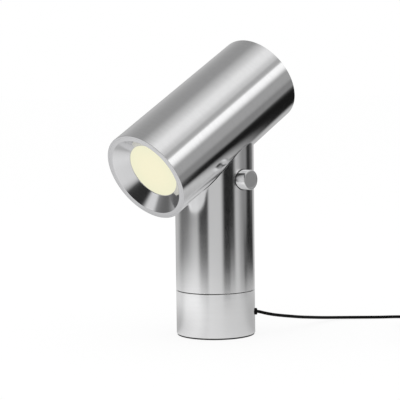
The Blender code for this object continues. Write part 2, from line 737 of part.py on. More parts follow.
def make_electronics(stem_axis):
    """Driver board on its clip, with a coil core, a capacitor and the wires to and from it."""
    clip_front = BOARD_BACK + GAP
    clip_back = clip_front + CLIP_THICK
    foot = STEM_PLATE_HIGH + GAP
    foot_top = foot + CLIP_THICK
    clip = block(
        "board_clip",
        (-CLIP_HALF, clip_front, foot),
        (CLIP_HALF, clip_back, foot + CLIP_HEIGHT),
        STEEL,
        stem_axis,
    )
    join(
        clip,
        block("clip_foot", (-CLIP_HALF, clip_front, foot), (CLIP_HALF, clip_front + CLIP_FOOT, foot_top)),
    )
    board_front = BOARD_BACK - BOARD_THICK
    block(
        "driver_board",
        (-BOARD_HALF, board_front, BOARD_LOW),
        (BOARD_HALF, BOARD_BACK, BOARD_HIGH),
        BOARD,
        stem_axis,
    )
    face = board_front - GAP
    core_low = (-COIL_CORE_SHIFT - COIL_CORE_HALF, face - COIL_CORE_DEPTH, COIL_CORE_HEIGHT - COIL_CORE_HALF)
    core_high = (COIL_CORE_HALF - COIL_CORE_SHIFT, face, COIL_CORE_HEIGHT + COIL_CORE_HALF)
    rounded(block("driver_coil", core_low, core_high, BRASS, stem_axis), COIL_CORE_HALF / 6)
    can = drum("driver_capacitor", CAPACITOR_RADIUS, 0, CAPACITOR_LENGTH, BLACK, stem_axis, facets=SMALL)
    can.rotation_euler = (math.pi / 2, 0, 0)
    can.location = (COIL_CORE_SHIFT, face, COIL_CORE_HEIGHT)
    board_wire_height = (BOARD_HIGH + COIL_CORE_HEIGHT) / 2
    wire_face = board_front - WIRE_END_GAP
    lead_in = [
        (0, 0, SPINDLE_TOP - SPINDLE_ABOVE_NUT),
        (0, 0, SPINDLE_TOP + WIRE_STEP),
        (0, face / 4, COIL_CORE_HEIGHT),
        (0, face / 2, board_wire_height - WIRE_STEP),
        (0, wire_face - WIRE_STEP, board_wire_height),
        (0, wire_face, board_wire_height),
    ]
    tube("stem_lead", smooth_path(lead_in, WIRE_STEP), WIRE_RADIUS, CORD, stem_axis)
    back = BOARD_BACK + WIRE_END_GAP
    up_to_head = [
        (0, back, board_wire_height),
        (0, back + WIRE_STEP, board_wire_height),
        (0, (back + PIVOT_Y) / 2, board_wire_height + WIRE_STEP),
        (0, PIVOT_Y, BULKHEAD_HEIGHT - WIRE_STEP),
        (0, PIVOT_Y, BULKHEAD_TOP + WIRE_STEP),
        (0, PIVOT_Y, PIVOT_Z - CROTCH_DEPTH - RUN_GAP),
    ]
    tube("head_lead", smooth_path(up_to_head, WIRE_STEP), WIRE_RADIUS, CORD, stem_axis)


def make_dimmer(stem_axis, knob_axis):
    """Dimmer on its seat behind the stem's wall, with the shaft and knob that turn in it."""
    seat_outer = STEM_INNER
    seat_back = SEATED_IN_STEM - DIMMER_SEAT
    seat = block(
        "dimmer_seat",
        (seat_back, -DIMMER_HALF, KNOB_HEIGHT - DIMMER_BELOW),
        (seat_outer, DIMMER_HALF, KNOB_HEIGHT + DIMMER_ABOVE),
        BLACK,
        stem_axis,
    )
    boolean(seat, drum("seat_limit", SEATED_IN_STEM, 0, HEAD_CROSSING, facets=FINE), "INTERSECT")
    cut(seat, *head_envelope("seat_room", LINER_GAP + LINER_THICK + RUN_GAP, ROUND))
    pocket = KNOB_RADIUS + RUN_GAP
    wall_front = seat_back + DIMMER_WALL
    cut(seat, cross_drum("seat_pocket", pocket, wall_front, STEM_RADIUS, 0, KNOB_HEIGHT))
    cut(seat, cross_drum("bush_hole", BUSH_RADIUS + GAP, 0, STEM_RADIUS, 0, KNOB_HEIGHT, facets=SMALL))
    bush_end = wall_front + GAP + DIMMER_NUT_HEIGHT
    body_front = seat_back - GAP
    body_back = DIMMER_BACK
    bore = SHAFT_RADIUS + GAP
    bore_end = (2 * body_front + body_back) / 3
    turned(
        "dimmer_body",
        [
            (0, bore_end),
            (bore, bore_end),
            (bore, bush_end),
            (BUSH_RADIUS, bush_end),
            (BUSH_RADIUS, body_front),
            (DIMMER_RADIUS, body_front),
            (DIMMER_RADIUS, body_back),
            (0, body_back),
        ],
        STEEL,
        knob_axis["still"],
        closed=False,
    )
    nut(
        "dimmer_nut",
        DIMMER_NUT_RADIUS,
        BUSH_RADIUS + GAP,
        wall_front + GAP,
        bush_end,
        BRASS,
        knob_axis["still"],
    )
    knob_back = STEM_RADIUS - KNOB_INSET
    knob_face = STEM_RADIUS + KNOB_PROUD
    shaft_end = knob_face - KNOB_FACE_THICK
    turned(
        "dimmer_knob",
        [
            (0, knob_face),
            (KNOB_RADIUS - KNOB_CHAMFER, knob_face),
            (KNOB_RADIUS, knob_face - KNOB_CHAMFER),
            (KNOB_RADIUS, knob_back),
            (bore, knob_back),
            (bore, shaft_end),
            (0, shaft_end),
        ],
        ALUMINIUM,
        knob_axis["turning"],
        closed=False,
    )
    shaft_low = bore_end + GAP
    drum("dimmer_shaft", SHAFT_RADIUS, shaft_low, shaft_end - GAP, BRASS, knob_axis["turning"], facets=SMALL)
    wire_end = body_back - WIRE_END_GAP
    board_face = BOARD_BACK - BOARD_THICK - WIRE_END_GAP
    board_wire_height = (BOARD_HIGH + COIL_CORE_HEIGHT) / 2
    wire = [
        (BOARD_HALF - 2 * WIRE_RADIUS, board_face, board_wire_height),
        (BOARD_HALF - 2 * WIRE_RADIUS, board_face - WIRE_STEP, board_wire_height),
        (DIMMER_HALF, BOARD_BACK / 2, BULKHEAD_HEIGHT - WIRE_STEP),
        (DIMMER_HALF, BOARD_BACK / 2, BULKHEAD_TOP + WIRE_STEP),
        (DIMMER_HALF, 0, KNOB_HEIGHT - DIMMER_RADIUS),
        (wire_end - 2 * WIRE_STEP, 0, KNOB_HEIGHT - WIRE_STEP / 2),
        (wire_end - WIRE_STEP, 0, KNOB_HEIGHT),
        (wire_end, 0, KNOB_HEIGHT),
    ]
    tube("dimmer_lead", smooth_path(wire, WIRE_STEP), WIRE_RADIUS, CORD, stem_axis)


def make_head_shell(head_axis):
    """The head's tube with its neck slot, the rear cap and the bracket that turns on the tilt pin."""
    shell = washer("head_shell", HEAD_INNER, HEAD_RADIUS, -HEAD_REAR, HEAD_FRONT, ALUMINIUM, head_axis, FINE)
    reach = HEAD_RADIUS - PIVOT_DROP
    slot_rear = -PIVOT_BACK - EAR_RADIUS - SLOT_CLEARANCE
    slot_front = -PIVOT_BACK + reach * math.tan(TILT) + EAR_RADIUS / math.cos(TILT) + SLOT_CLEARANCE
    slot_half = EAR_OUTER + SLOT_CLEARANCE
    below = -HEAD_RADIUS - OVERRUN
    cut(
        shell,
        block(
            "neck_slot", (-slot_half, below, slot_rear), (slot_half, -PIVOT_DROP, slot_front), None, head_axis
        ),
    )
    cap_front = REAR_CAP_THICK - HEAD_REAR
    drum("rear_cap", SEATED_IN_HEAD, -HEAD_REAR, cap_front, ALUMINIUM, head_axis, facets=FINE)
    front = slot_rear - SLOT_CLEARANCE
    back = front - BRACKET_LENGTH
    sled = -HEAD_INNER + BRACKET_THICK
    bracket = block(
        "head_bracket", (-BRACKET_HALF, -HEAD_INNER, back), (BRACKET_HALF, sled, front), STEEL, head_axis
    )
    boolean(
        bracket,
        drum("sled_limit", SEATED_IN_HEAD, -HEAD_REAR, HEAD_FRONT, None, head_axis, facets=FINE),
        "INTERSECT",
    )
    arm_low = (-TONGUE_HALF, sled - BRACKET_THICK / 2, back + BRACKET_THICK)
    arm_top = -PIVOT_DROP + EAR_RADIUS
    arm_base = block("arm_base", arm_low, (TONGUE_HALF, arm_top, front), None, head_axis)
    arm = block(
        "arm",
        (-TONGUE_HALF, -PIVOT_DROP - EAR_RADIUS, front - OVERRUN),
        (TONGUE_HALF, arm_top, -PIVOT_BACK),
        None,
        head_axis,
    )
    tongue = cross_drum(
        "tongue", EAR_RADIUS, -TONGUE_HALF, TONGUE_HALF, -PIVOT_DROP, -PIVOT_BACK, None, head_axis, SMALL
    )
    join(bracket, arm_base, arm, tongue)
    hole = PIN_RADIUS + GAP
    past = BRACKET_HALF + OVERRUN
    cut(
        bracket,
        cross_drum("tongue_hole", hole, -past, past, -PIVOT_DROP, -PIVOT_BACK, None, head_axis, SMALL),
    )


def make_light(head_axis):
    """Reflector, diffuser, mixing ring, LED board, LED, heat sink and its screws."""
    skirt_back = HEAD_FRONT - SKIRT_LENGTH
    funnel_slope = (RIM_INNER - THROAT_RADIUS) / FUNNEL_DEPTH
    cone_back = FUNNEL_BACK + FUNNEL_WALL
    cone_foot = THROAT_RADIUS + FUNNEL_WALL
    land_top = HEAD_FRONT - FUNNEL_DEPTH
    back_high = HEAD_FRONT - FUNNEL_WALL
    back_outer = cone_foot + (back_high - cone_back) * funnel_slope
    turned(
        "reflector",
        [
            (SEATED_IN_HEAD, HEAD_FRONT),
            (SEATED_IN_HEAD, skirt_back),
            (SEATED_IN_HEAD - SKIRT_WALL, skirt_back),
            (SEATED_IN_HEAD - SKIRT_WALL, back_high),
            (back_outer, back_high),
            (cone_foot, cone_back),
            (cone_foot, FUNNEL_BACK),
            (THROAT_RADIUS, FUNNEL_BACK),
            (THROAT_RADIUS, land_top),
            (RIM_INNER, HEAD_FRONT),
        ],
        REFLECTOR,
        head_axis,
        facets=FINE,
    )
    drum("diffuser", DIFFUSER_RADIUS, DIFFUSER_BACK, FUNNEL_BACK - GAP, OPAL, head_axis, facets=FINE)
    lip_inner = DIFFUSER_RADIUS + GAP
    mixer_outer = lip_inner + MIXER_LIP
    turned(
        "mixing_ring",
        [
            (mixer_outer, FUNNEL_BACK - GAP),
            (mixer_outer, MIXER_BACK),
            (mixer_outer - MIXER_WALL - MIXER_LIP, MIXER_BACK),
            (mixer_outer - MIXER_WALL - MIXER_LIP, DIFFUSER_BACK - GAP),
            (lip_inner, DIFFUSER_BACK - GAP),
            (lip_inner, FUNNEL_BACK - GAP),
        ],
        WHITE,
        head_axis,
    )
    board_front = MIXER_BACK + LED_BOARD_THICK
    board = drum("led_board", LED_BOARD_RADIUS, MIXER_BACK, board_front, WHITE, head_axis)
    drum(
        "led_array",
        LED_RADIUS,
        board_front + GAP,
        board_front + GAP + LED_THICK,
        PHOSPHOR,
        head_axis,
        facets=SMALL,
    )
    sink = drum("heat_sink", SEATED_IN_HEAD, SINK_BACK, SINK_FRONT, ALUMINIUM, head_axis)
    join(sink, heat_sink_star(head_axis))
    wire_at = sink_point(SINK_WIRE_TURN_SHARE, SINK_SCREW_CIRCLE)
    cut(
        sink,
        drum(
            "sink_wire_hole",
            WIRE_HOLE_RADIUS,
            SINK_BACK - OVERRUN,
            SINK_FRONT + OVERRUN,
            None,
            head_axis,
            wire_at,
            SMALL,
        ),
    )
    for i, share in enumerate(SINK_SCREW_TURN_SHARES):
        place = sink_point(share, SINK_SCREW_CIRCLE)
        past_board = board_front + OVERRUN
        hole_low = board_front - SINK_SCREW_DEPTH
        hole = drum(
            f"sink_screw_hole_{i}", SCREW_RADIUS + GAP, hole_low, past_board, None, head_axis, place, SMALL
        )
        cut(board, hole)
        cut(sink, hole)
        screw(
            f"sink_screw_{i + 1}",
            SCREW_HEAD_RADIUS,
            SCREW_HEAD_HEIGHT,
            SCREW_RADIUS,
            SINK_SCREW_DEPTH - RUN_GAP,
            STEEL,
            head_axis,
            place,
            board_front + GAP,
            point_down=True,
        )
    over_arm = -PIVOT_DROP + EAR_RADIUS + RUN_GAP + WIRE_RADIUS
    lead = [
        (*wire_at, MIXER_BACK - GAP),
        (*wire_at, SINK_BACK - WIRE_STEP),
        (*wire_at, SINK_BACK - SINK_FIN_LENGTH),
        (0, over_arm, -PIVOT_BACK),
        (0, over_arm, -PIVOT_BACK - 2 * EAR_RADIUS),
    ]
    tube("led_lead", smooth_path(lead, WIRE_STEP), WIRE_RADIUS, CORD, head_axis)


def sink_point(turn_share, radius):
    """A point behind the LED board, by its share of a turn from the head's right side."""
    angle = 2 * math.pi * turn_share
    return radius * math.cos(angle), radius * math.sin(angle)


def heat_sink_star(head_axis):
    """A hub with radial fins, extruded along the head's axis."""
    data = bpy.data.curves.new("sink_star", "CURVE")
    data.dimensions = "2D"
    data.fill_mode = "BOTH"
    low, high = SINK_BACK - SINK_FIN_LENGTH, SINK_BACK + SINK_THICK / 2
    data.extrude = (high - low) / 2
    spline = data.splines.new("POLY")
    spline.use_cyclic_u = True
    outline = []
    for i in range(SINK_FIN_COUNT):
        middle = 2 * math.pi * (i / SINK_FIN_COUNT)
        for radius, side in (
            (SINK_HUB_RADIUS, -1),
            (SINK_FIN_RADIUS, -1),
            (SINK_FIN_RADIUS, 1),
            (SINK_HUB_RADIUS, 1),
        ):
            turn = middle + side * math.asin(SINK_FIN_HALF / radius)
            outline.append((radius * math.cos(turn), radius * math.sin(turn), 0, 1))
    spline.points.add(len(outline) - 1)
    for place, point in zip(spline.points, outline):
        place.co = point
    flat = bpy.data.objects.new("sink_star_outline", data)
    CUTTERS.objects.link(flat)
    bpy.context.view_layer.update()
    mesh = bpy.data.meshes.new_from_object(flat.evaluated_get(bpy.context.evaluated_depsgraph_get()))
    bpy.data.objects.remove(flat)
    solid = bmesh.new()
    solid.from_mesh(mesh)
    bmesh.ops.remove_doubles(solid, verts=solid.verts, dist=GAP / 10)
    bmesh.ops.translate(solid, verts=solid.verts, vec=(0, 0, (low + high) / 2))
    return mesh_object("sink_star", solid, None, head_axis)


def coil_path():
    """The coil's centre line: a spiral in and out again in layers, climbing where it turns back."""
    heading = math.radians(COIL_HEADING_DEG)
    centre = (
        COIL_ENTRY[0] + COIL_OUTER * math.sin(heading),
        COIL_ENTRY[1] - COIL_OUTER * math.cos(heading),
    )
    points = []
    count = round(COIL_TURNS * COIL_POINTS)
    for i in range(count + 1):
        turn = COIL_TURNS * i / count
        layer = turn / COIL_LAYER_TURNS
        inward = 1 - abs((layer % 2) - 1)
        radius = COIL_OUTER - COIL_PITCH * COIL_LAYER_TURNS * inward
        climbed = 0
        for level in range(1, COIL_LAYERS):
            share = (turn - level * COIL_LAYER_TURNS) * 2 + 1 / 2
            share = min(max(share, 0), 1)
            climbed += share * share * (3 - 2 * share)
        angle = heading + math.pi / 2 - 2 * math.pi * turn
        x = centre[0] + radius * math.cos(angle)
        y = centre[1] + radius * math.sin(angle)
        points.append((x, y, COIL_FLOOR + COIL_PITCH * climbed))
    return np.array(points), centre


def least_self_gap(points, radius):
    """The least distance between a coiled tube's surface and itself, beyond a half turn along it."""
    along = np.concatenate([[0], np.cumsum(np.linalg.norm(np.diff(points, axis=0), axis=1))])
    apart = np.abs(along[:, None] - along[None, :]) > math.pi * COIL_INNER
    distance = np.linalg.norm(points[:, None] - points[None, :], axis=2)
    return float(distance[apart].min() - 2 * radius)


def make_cord(root):
    """The cord from the gland to its coil, the coil, its tie, the tail and the plug."""
    face = STEM_RADIUS + GLAND_PROUD
    x, y = around(1, EXIT_AZIMUTH_DEG)
    seen, bent = face + GAP, face + GAP + 2 * CORD_RADIUS
    start = [(x * seen, y * seen, EXIT_HEIGHT), (x * bent, y * bent, EXIT_HEIGHT - EXIT_DROOP)]
    heading = math.radians(COIL_HEADING_DEG)
    ahead = np.array([math.cos(heading), math.sin(heading), 0])
    entry = np.array([*COIL_ENTRY, COIL_FLOOR])
    end = [entry - ahead * (GAP + 2 * CORD_RADIUS), entry - ahead * GAP]
    lead = smooth_path([*start, *CORD_ROUTE, *end], CORD_STEP)
    tube("cord_lead", lead, CORD_RADIUS, CORD, root, sides=2)
    coil, centre = coil_path()
    heading = math.radians(COIL_LEAVE_DEG)
    ahead = np.array([math.cos(heading), math.sin(heading), 0])
    straight = coil[-1] + ahead * 2 * CORD_RADIUS
    coil = np.concatenate([coil, [straight]])
    tube("cord_coil", coil, CORD_RADIUS, CORD, root)
    tail_start = straight + ahead * GAP
    tail_rise = np.array([0, 0, TAIL_RISE])
    tail_end = tail_start + ahead * TAIL_LENGTH + tail_rise
    tail = smooth_path(
        [
            tail_start,
            tail_start + ahead * 2 * CORD_RADIUS,
            tail_end - ahead * 2 * CORD_RADIUS,
            tail_end,
        ],
        CORD_STEP / 2,
    )
    tube("cord_tail", tail, CORD_RADIUS, CORD, root, sides=2)
    total = path_length(lead) + path_length(coil) + path_length(tail)
    least = least_self_gap(coil, CORD_RADIUS)
    print(f"cord {total:.4f} m of {CORD_LENGTH} m, coil's least gap to itself {least:.5f} m")
    make_tie(root, centre)
    make_plug(root, tail_end + ahead * GAP, heading)


def make_tie(root, centre):
    """A band round the coil's turns, on the side away from where the cord comes in."""
    bearing = math.radians(COIL_HEADING_DEG) - math.pi / 2
    axis = empty("tie_axis", (centre[0], centre[1], 0), (0, 0, bearing), root)
    inner = COIL_INNER - CORD_RADIUS - TIE_SIDE_ROOM
    outer = COIL_OUTER + CORD_RADIUS + TIE_SIDE_ROOM
    roof = COIL_TOP + CORD_RADIUS + GAP
    half = TIE_WIDTH / 2
    low = (inner - TIE_THICK, -half, 0)
    band = block("cord_tie", low, (outer + TIE_THICK, half, roof + TIE_THICK), RUBBER, axis)
    cut(
        band,
        block("tie_room", (inner, -half - OVERRUN, TIE_THICK), (outer, half + OVERRUN, roof), None, axis),
    )


def make_plug(root, place, heading):
    """The plug: strain relief, body and two pins, lying on its side at the end of the cord."""
    axis = empty("plug_axis", tuple(place), (0, 0, heading), root)
    relief = drum(
        "plug_relief",
        CORD_RADIUS + RUN_GAP,
        0,
        RELIEF_LENGTH,
        RUBBER,
        axis,
        facets=SMALL,
        top_radius=RELIEF_RADIUS,
    )
    relief.rotation_euler = (0, math.pi / 2, 0)
    front = RELIEF_LENGTH + GAP
    middle = PLUG_HEIGHT / 2
    half = PLUG_WIDTH / 2
    body = block("plug_body", (front, -half, -middle), (front + PLUG_LENGTH, half, middle), BLACK, axis)
    rounded(body, PLUG_CORNER, 3)
    body.location = (0, 0, middle - place[2])
    for shift, label in ((-1, "lower"), (1, "upper")):
        pin = drum(f"plug_pin_{label}", PLUG_PIN_RADIUS, 0, PLUG_PIN_LENGTH, BRASS, axis, facets=SMALL)
        rounded(pin, PLUG_PIN_RADIUS / 3)
        pin.rotation_euler = (math.pi / 2, 0, 0)
        height = middle - place[2] + shift * PLUG_PIN_SPACING / 2
        pin.location = (front + PLUG_LENGTH - PLUG_PIN_SHIFT, -half - GAP, height)


def make_inner_lead(root):
    """The lead inside the base, from the gland up into the hollow spindle."""
    x, y = around(1, EXIT_AZIMUTH_DEG)
    inner_end = BASE_INNER - GLAND_INSIDE
    route = [
        (x * STEM_RADIUS, y * STEM_RADIUS, EXIT_HEIGHT),
        (x * inner_end, y * inner_end, EXIT_HEIGHT),
        (x * SPINDLE_FLANGE_RADIUS, y * SPINDLE_FLANGE_RADIUS, EXIT_HEIGHT + CORD_RADIUS),
        (0, 0, BASE_CEILING - SPINDLE_FLANGE_THICK - CORD_RADIUS),
        (0, 0, BASE_HEIGHT),
        (0, 0, SPINDLE_TOP - SPINDLE_ABOVE_NUT - GAP),
    ]
    tube("base_lead", smooth_path(route, WIRE_STEP), CORD_RADIUS, CORD, root)


def main():
    root = empty("base_root", (0, 0, 0))
    stem_axis = empty("stem_swivel", (0, 0, 0), parent=root)
    pivot_turn = (math.pi / 2 + TILT, 0, 0)
    head_pivot = empty("head_tilt", (0, PIVOT_Y, PIVOT_Z), pivot_turn, stem_axis)
    head_axis = empty("head_centre", (0, PIVOT_DROP, PIVOT_BACK), parent=head_pivot)
    knob_turn = (0, math.pi / 2, 0)
    knob_axis = {
        "still": empty("dimmer_axis", (0, 0, KNOB_HEIGHT), knob_turn, stem_axis),
        "turning": empty("knob_turn", (0, 0, KNOB_HEIGHT), knob_turn, stem_axis),
    }
    bpy.context.view_layer.update()
    housing = make_base(root)
    make_swivel(root, stem_axis, housing)
    make_inner_lead(root)
    make_stem(stem_axis)
    make_electronics(stem_axis)
    make_dimmer(stem_axis, knob_axis)
    make_head_shell(head_axis)
    make_light(head_axis)
    make_cord(root)
    bpy.context.view_layer.update()


main()
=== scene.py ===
"""Looks of a short table lamp: turned aluminium head, saddle, stem and base, a glowing diffuser and a black cord.

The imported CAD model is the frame. Every piece made here lies in that frame, in metres, and rides on one of its
bodies. Pieces that show are modelled anew at full smoothness, and the inner parts keep their CAD shape and get a
finish of their own.
"""

from __future__ import annotations

import json
import logging
import math
from dataclasses import dataclass, field
from enum import Enum
from typing import Iterable, Sequence

import bmesh
import bpy
from mathutils import Matrix, Vector

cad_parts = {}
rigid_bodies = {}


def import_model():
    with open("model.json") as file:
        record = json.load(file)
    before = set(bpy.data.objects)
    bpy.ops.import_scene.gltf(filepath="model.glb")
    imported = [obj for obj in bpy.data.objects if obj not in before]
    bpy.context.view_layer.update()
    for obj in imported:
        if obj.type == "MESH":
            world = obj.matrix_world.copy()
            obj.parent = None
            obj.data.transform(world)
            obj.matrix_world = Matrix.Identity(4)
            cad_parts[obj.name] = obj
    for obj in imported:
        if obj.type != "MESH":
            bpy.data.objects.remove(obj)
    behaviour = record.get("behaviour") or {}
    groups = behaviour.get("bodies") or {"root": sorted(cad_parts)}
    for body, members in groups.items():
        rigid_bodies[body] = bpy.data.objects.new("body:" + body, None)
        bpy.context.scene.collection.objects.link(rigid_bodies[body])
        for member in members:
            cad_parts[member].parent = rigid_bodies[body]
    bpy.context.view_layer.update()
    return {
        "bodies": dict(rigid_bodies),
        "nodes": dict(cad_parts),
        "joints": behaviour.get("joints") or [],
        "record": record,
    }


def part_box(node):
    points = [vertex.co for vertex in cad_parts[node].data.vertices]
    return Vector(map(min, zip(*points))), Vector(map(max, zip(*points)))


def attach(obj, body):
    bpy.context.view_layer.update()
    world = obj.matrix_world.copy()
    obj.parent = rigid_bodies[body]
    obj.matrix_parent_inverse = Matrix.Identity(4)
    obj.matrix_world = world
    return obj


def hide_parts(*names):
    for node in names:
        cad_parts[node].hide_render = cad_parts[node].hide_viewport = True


LOG = logging.getLogger("table_lamp")

Triple = tuple[float, float, float]
Socket = bpy.types.NodeSocket

# Clearance between neighbouring pieces, how far a cutter runs past what it cuts, and how far apart two points may
# be that are taken as one
GAP = 0.0003
OVERRUN = 0.004
SAME_PLACE = 1e-6

# Columns round a large turned piece, round a small one and round a grip
FINE_COLUMNS = 256
SMALL_COLUMNS = 96
GRIP_COLUMNS = 16

# Up to this angle, in degrees, neighbouring faces are shaded as one
SMOOTH_ANGLE = 32.0

# Half a turn in degrees, and the shader's own measure of a quarter turn
HALF_TURN = 180.0
QUARTER_TURN = 0.25


class Body(Enum):
    """Bodies of the frame that pieces ride on."""

    BASE = "base"
    STEM = "stem"
    HEAD = "head"
    KNOB = "knob"


# ---- Shader graphs ----


class Graph:
    """Adds nodes to one shader tree and joins them."""

    def __init__(self, tree: bpy.types.NodeTree) -> None:
        """Args:
        tree: The node tree that the nodes go into.
        """
        self.tree = tree

    def node(self, kind: str, **settings: object) -> bpy.types.Node:
        """Adds a node.

        Args:
            kind: The node's type name without "ShaderNode".
            settings: Values of the node's own properties.

        Returns:
            The new node.
        """
        made = self.tree.nodes.new(f"ShaderNode{kind}")
        for name, value in settings.items():
            setattr(made, name, value)
        return made

    def feed(self, target: Socket, value: object) -> None:
        """Joins a socket to the target, or sets the target to a plain value.

        Args:
            target: An input socket.
            value: An output socket, a number or a tuple.
        """
        if isinstance(value, bpy.types.NodeSocket):
            self.tree.links.new(value, target)
        else:
            target.default_value = value

    def feed_all(self, node: bpy.types.Node, values: dict[str, object]) -> None:
        """Feeds several inputs of a node, each by its name."""
        for label, value in values.items():
            self.feed(node.inputs[label], value)

    def fed(self, kind: str, *values: object, **settings: object) -> bpy.types.Node:
        """Adds a node and feeds its inputs in their order.

        Args:
            kind: The node's type name without "ShaderNode".
            values: What feeds its first inputs.
            settings: Values of the node's own properties.

        Returns:
            The new node.
        """
        made = self.node(kind, **settings)
        for target, value in zip(made.inputs, values):
            self.feed(target, value)
        return made

    def split(self, vector: Socket) -> Sequence[Socket]:
        """Takes a vector apart into its three parts."""
        return self.fed("SeparateXYZ", vector).outputs

    def join(self, *parts: Socket) -> Socket:
        """Puts a vector together from its three parts."""
        return self.fed("CombineXYZ", *parts).outputs[0]

    def noise(self, place: Socket, scale: Socket | float, detail: float, **settings: float) -> bpy.types.Node:
        """Adds a Noise Texture node.

        Args:
            place: Where the texture is read.
            scale: Its scale.
            detail: Its detail.
            settings: Its other inputs, in small letters.

        Returns:
            The node, whose first output is the noise.
        """
        made = self.node("TexNoise")
        self.feed_all(made, {"Vector": place, "Scale": scale, "Detail": detail})
        self.feed_all(made, {label.title(): value for label, value in settings.items()})
        return made

    def math(self, operation: str, first: object, second: object = 0.0, third: object = 0.0) -> Socket:
        """Adds a Math node and gives its result."""
        return self.fed("Math", first, second, third, operation=operation).outputs[0]

    def from_axis(self, x: Socket, y: Socket) -> Socket:
        """Distance from the Z axis, from a place's first two parts."""
        return self.math("SQRT", self.math("ADD", self.math("MULTIPLY", x, x), self.math("MULTIPLY", y, y)))

    def vector(self, operation: str, first: object, second: object = (0.0, 0.0, 0.0)) -> bpy.types.Node:
        """Adds a Vector Math node, whose result is "Vector" or "Value"."""
        return self.fed("VectorMath", first, second, operation=operation)

    def rise(self, value: object, start: float, end: float, low: object = 0.0, high: object = 1.0) -> Socket:
        """Maps a value smoothly from one level to another.

        Args:
            value: What is mapped.
            start: Where the rise starts.
            end: Where it ends.
            low: The level before the start.
            high: The level after the end.

        Returns:
            The mapped value.
        """
        made = self.fed("MapRange", value, start, end, low, high, interpolation_type="SMOOTHSTEP", clamp=True)
        return made.outputs["Result"]

    def blend(self, share: object, first: object, second: object) -> Socket:
        """Mixes two values.

        Args:
            share: How much of the second is in the mix.
            first: Value at a share of 0.
            second: Value at a share of 1.

        Returns:
            The mixed value.
        """
        made = self.node("Mix", data_type="FLOAT")
        for target, value in zip((made.inputs[0], made.inputs[2], made.inputs[3]), (share, first, second)):
            self.feed(target, value)
        return made.outputs[0]

    def blend_colour(self, share: object, first: Socket | Triple, second: Socket | Triple) -> Socket:
        """Mixes two colours.

        Args:
            share: How much of the second is in the mix.
            first: Colour at a share of 0.
            second: Colour at a share of 1.

        Returns:
            The mixed colour.
        """
        made = self.node("Mix", data_type="RGBA")
        self.feed(made.inputs[0], share)
        for target, colour in ((made.inputs[6], first), (made.inputs[7], second)):
            self.feed(target, (*colour, 1.0) if isinstance(colour, tuple) else colour)
        return made.outputs[2]

    def mix_shaders(self, share: Socket, first: Socket, second: Socket) -> Socket:
        """Mixes two shaders. The share is how much of the second is in the mix."""
        return self.fed("MixShader", share, first, second).outputs[0]


def new_group(name: str, inputs: dict[str, object], outputs: Sequence[str]) -> tuple[Graph, dict, dict]:
    """Starts a shared shader node group.

    Args:
        name: The group's name.
        inputs: Each input's name with its default, a number or a vector.
        outputs: Names of the outputs, which are all plain values.

    Returns:
        The group's graph, its input sockets by name, and its output sockets by name.
    """
    tree = bpy.data.node_groups.new(name, "ShaderNodeTree")
    for label, default in inputs.items():
        kind = "NodeSocketVector" if isinstance(default, tuple) else "NodeSocketFloat"
        socket = tree.interface.new_socket(label, in_out="INPUT", socket_type=kind)
        socket.default_value = default
    for label in outputs:
        tree.interface.new_socket(label, in_out="OUTPUT", socket_type="NodeSocketFloat")
    entry = tree.nodes.new("NodeGroupInput")
    leave = tree.nodes.new("NodeGroupOutput")
    return (
        Graph(tree),
        {label: entry.outputs[label] for label in inputs},
        {label: leave.inputs[label] for label in outputs},
    )


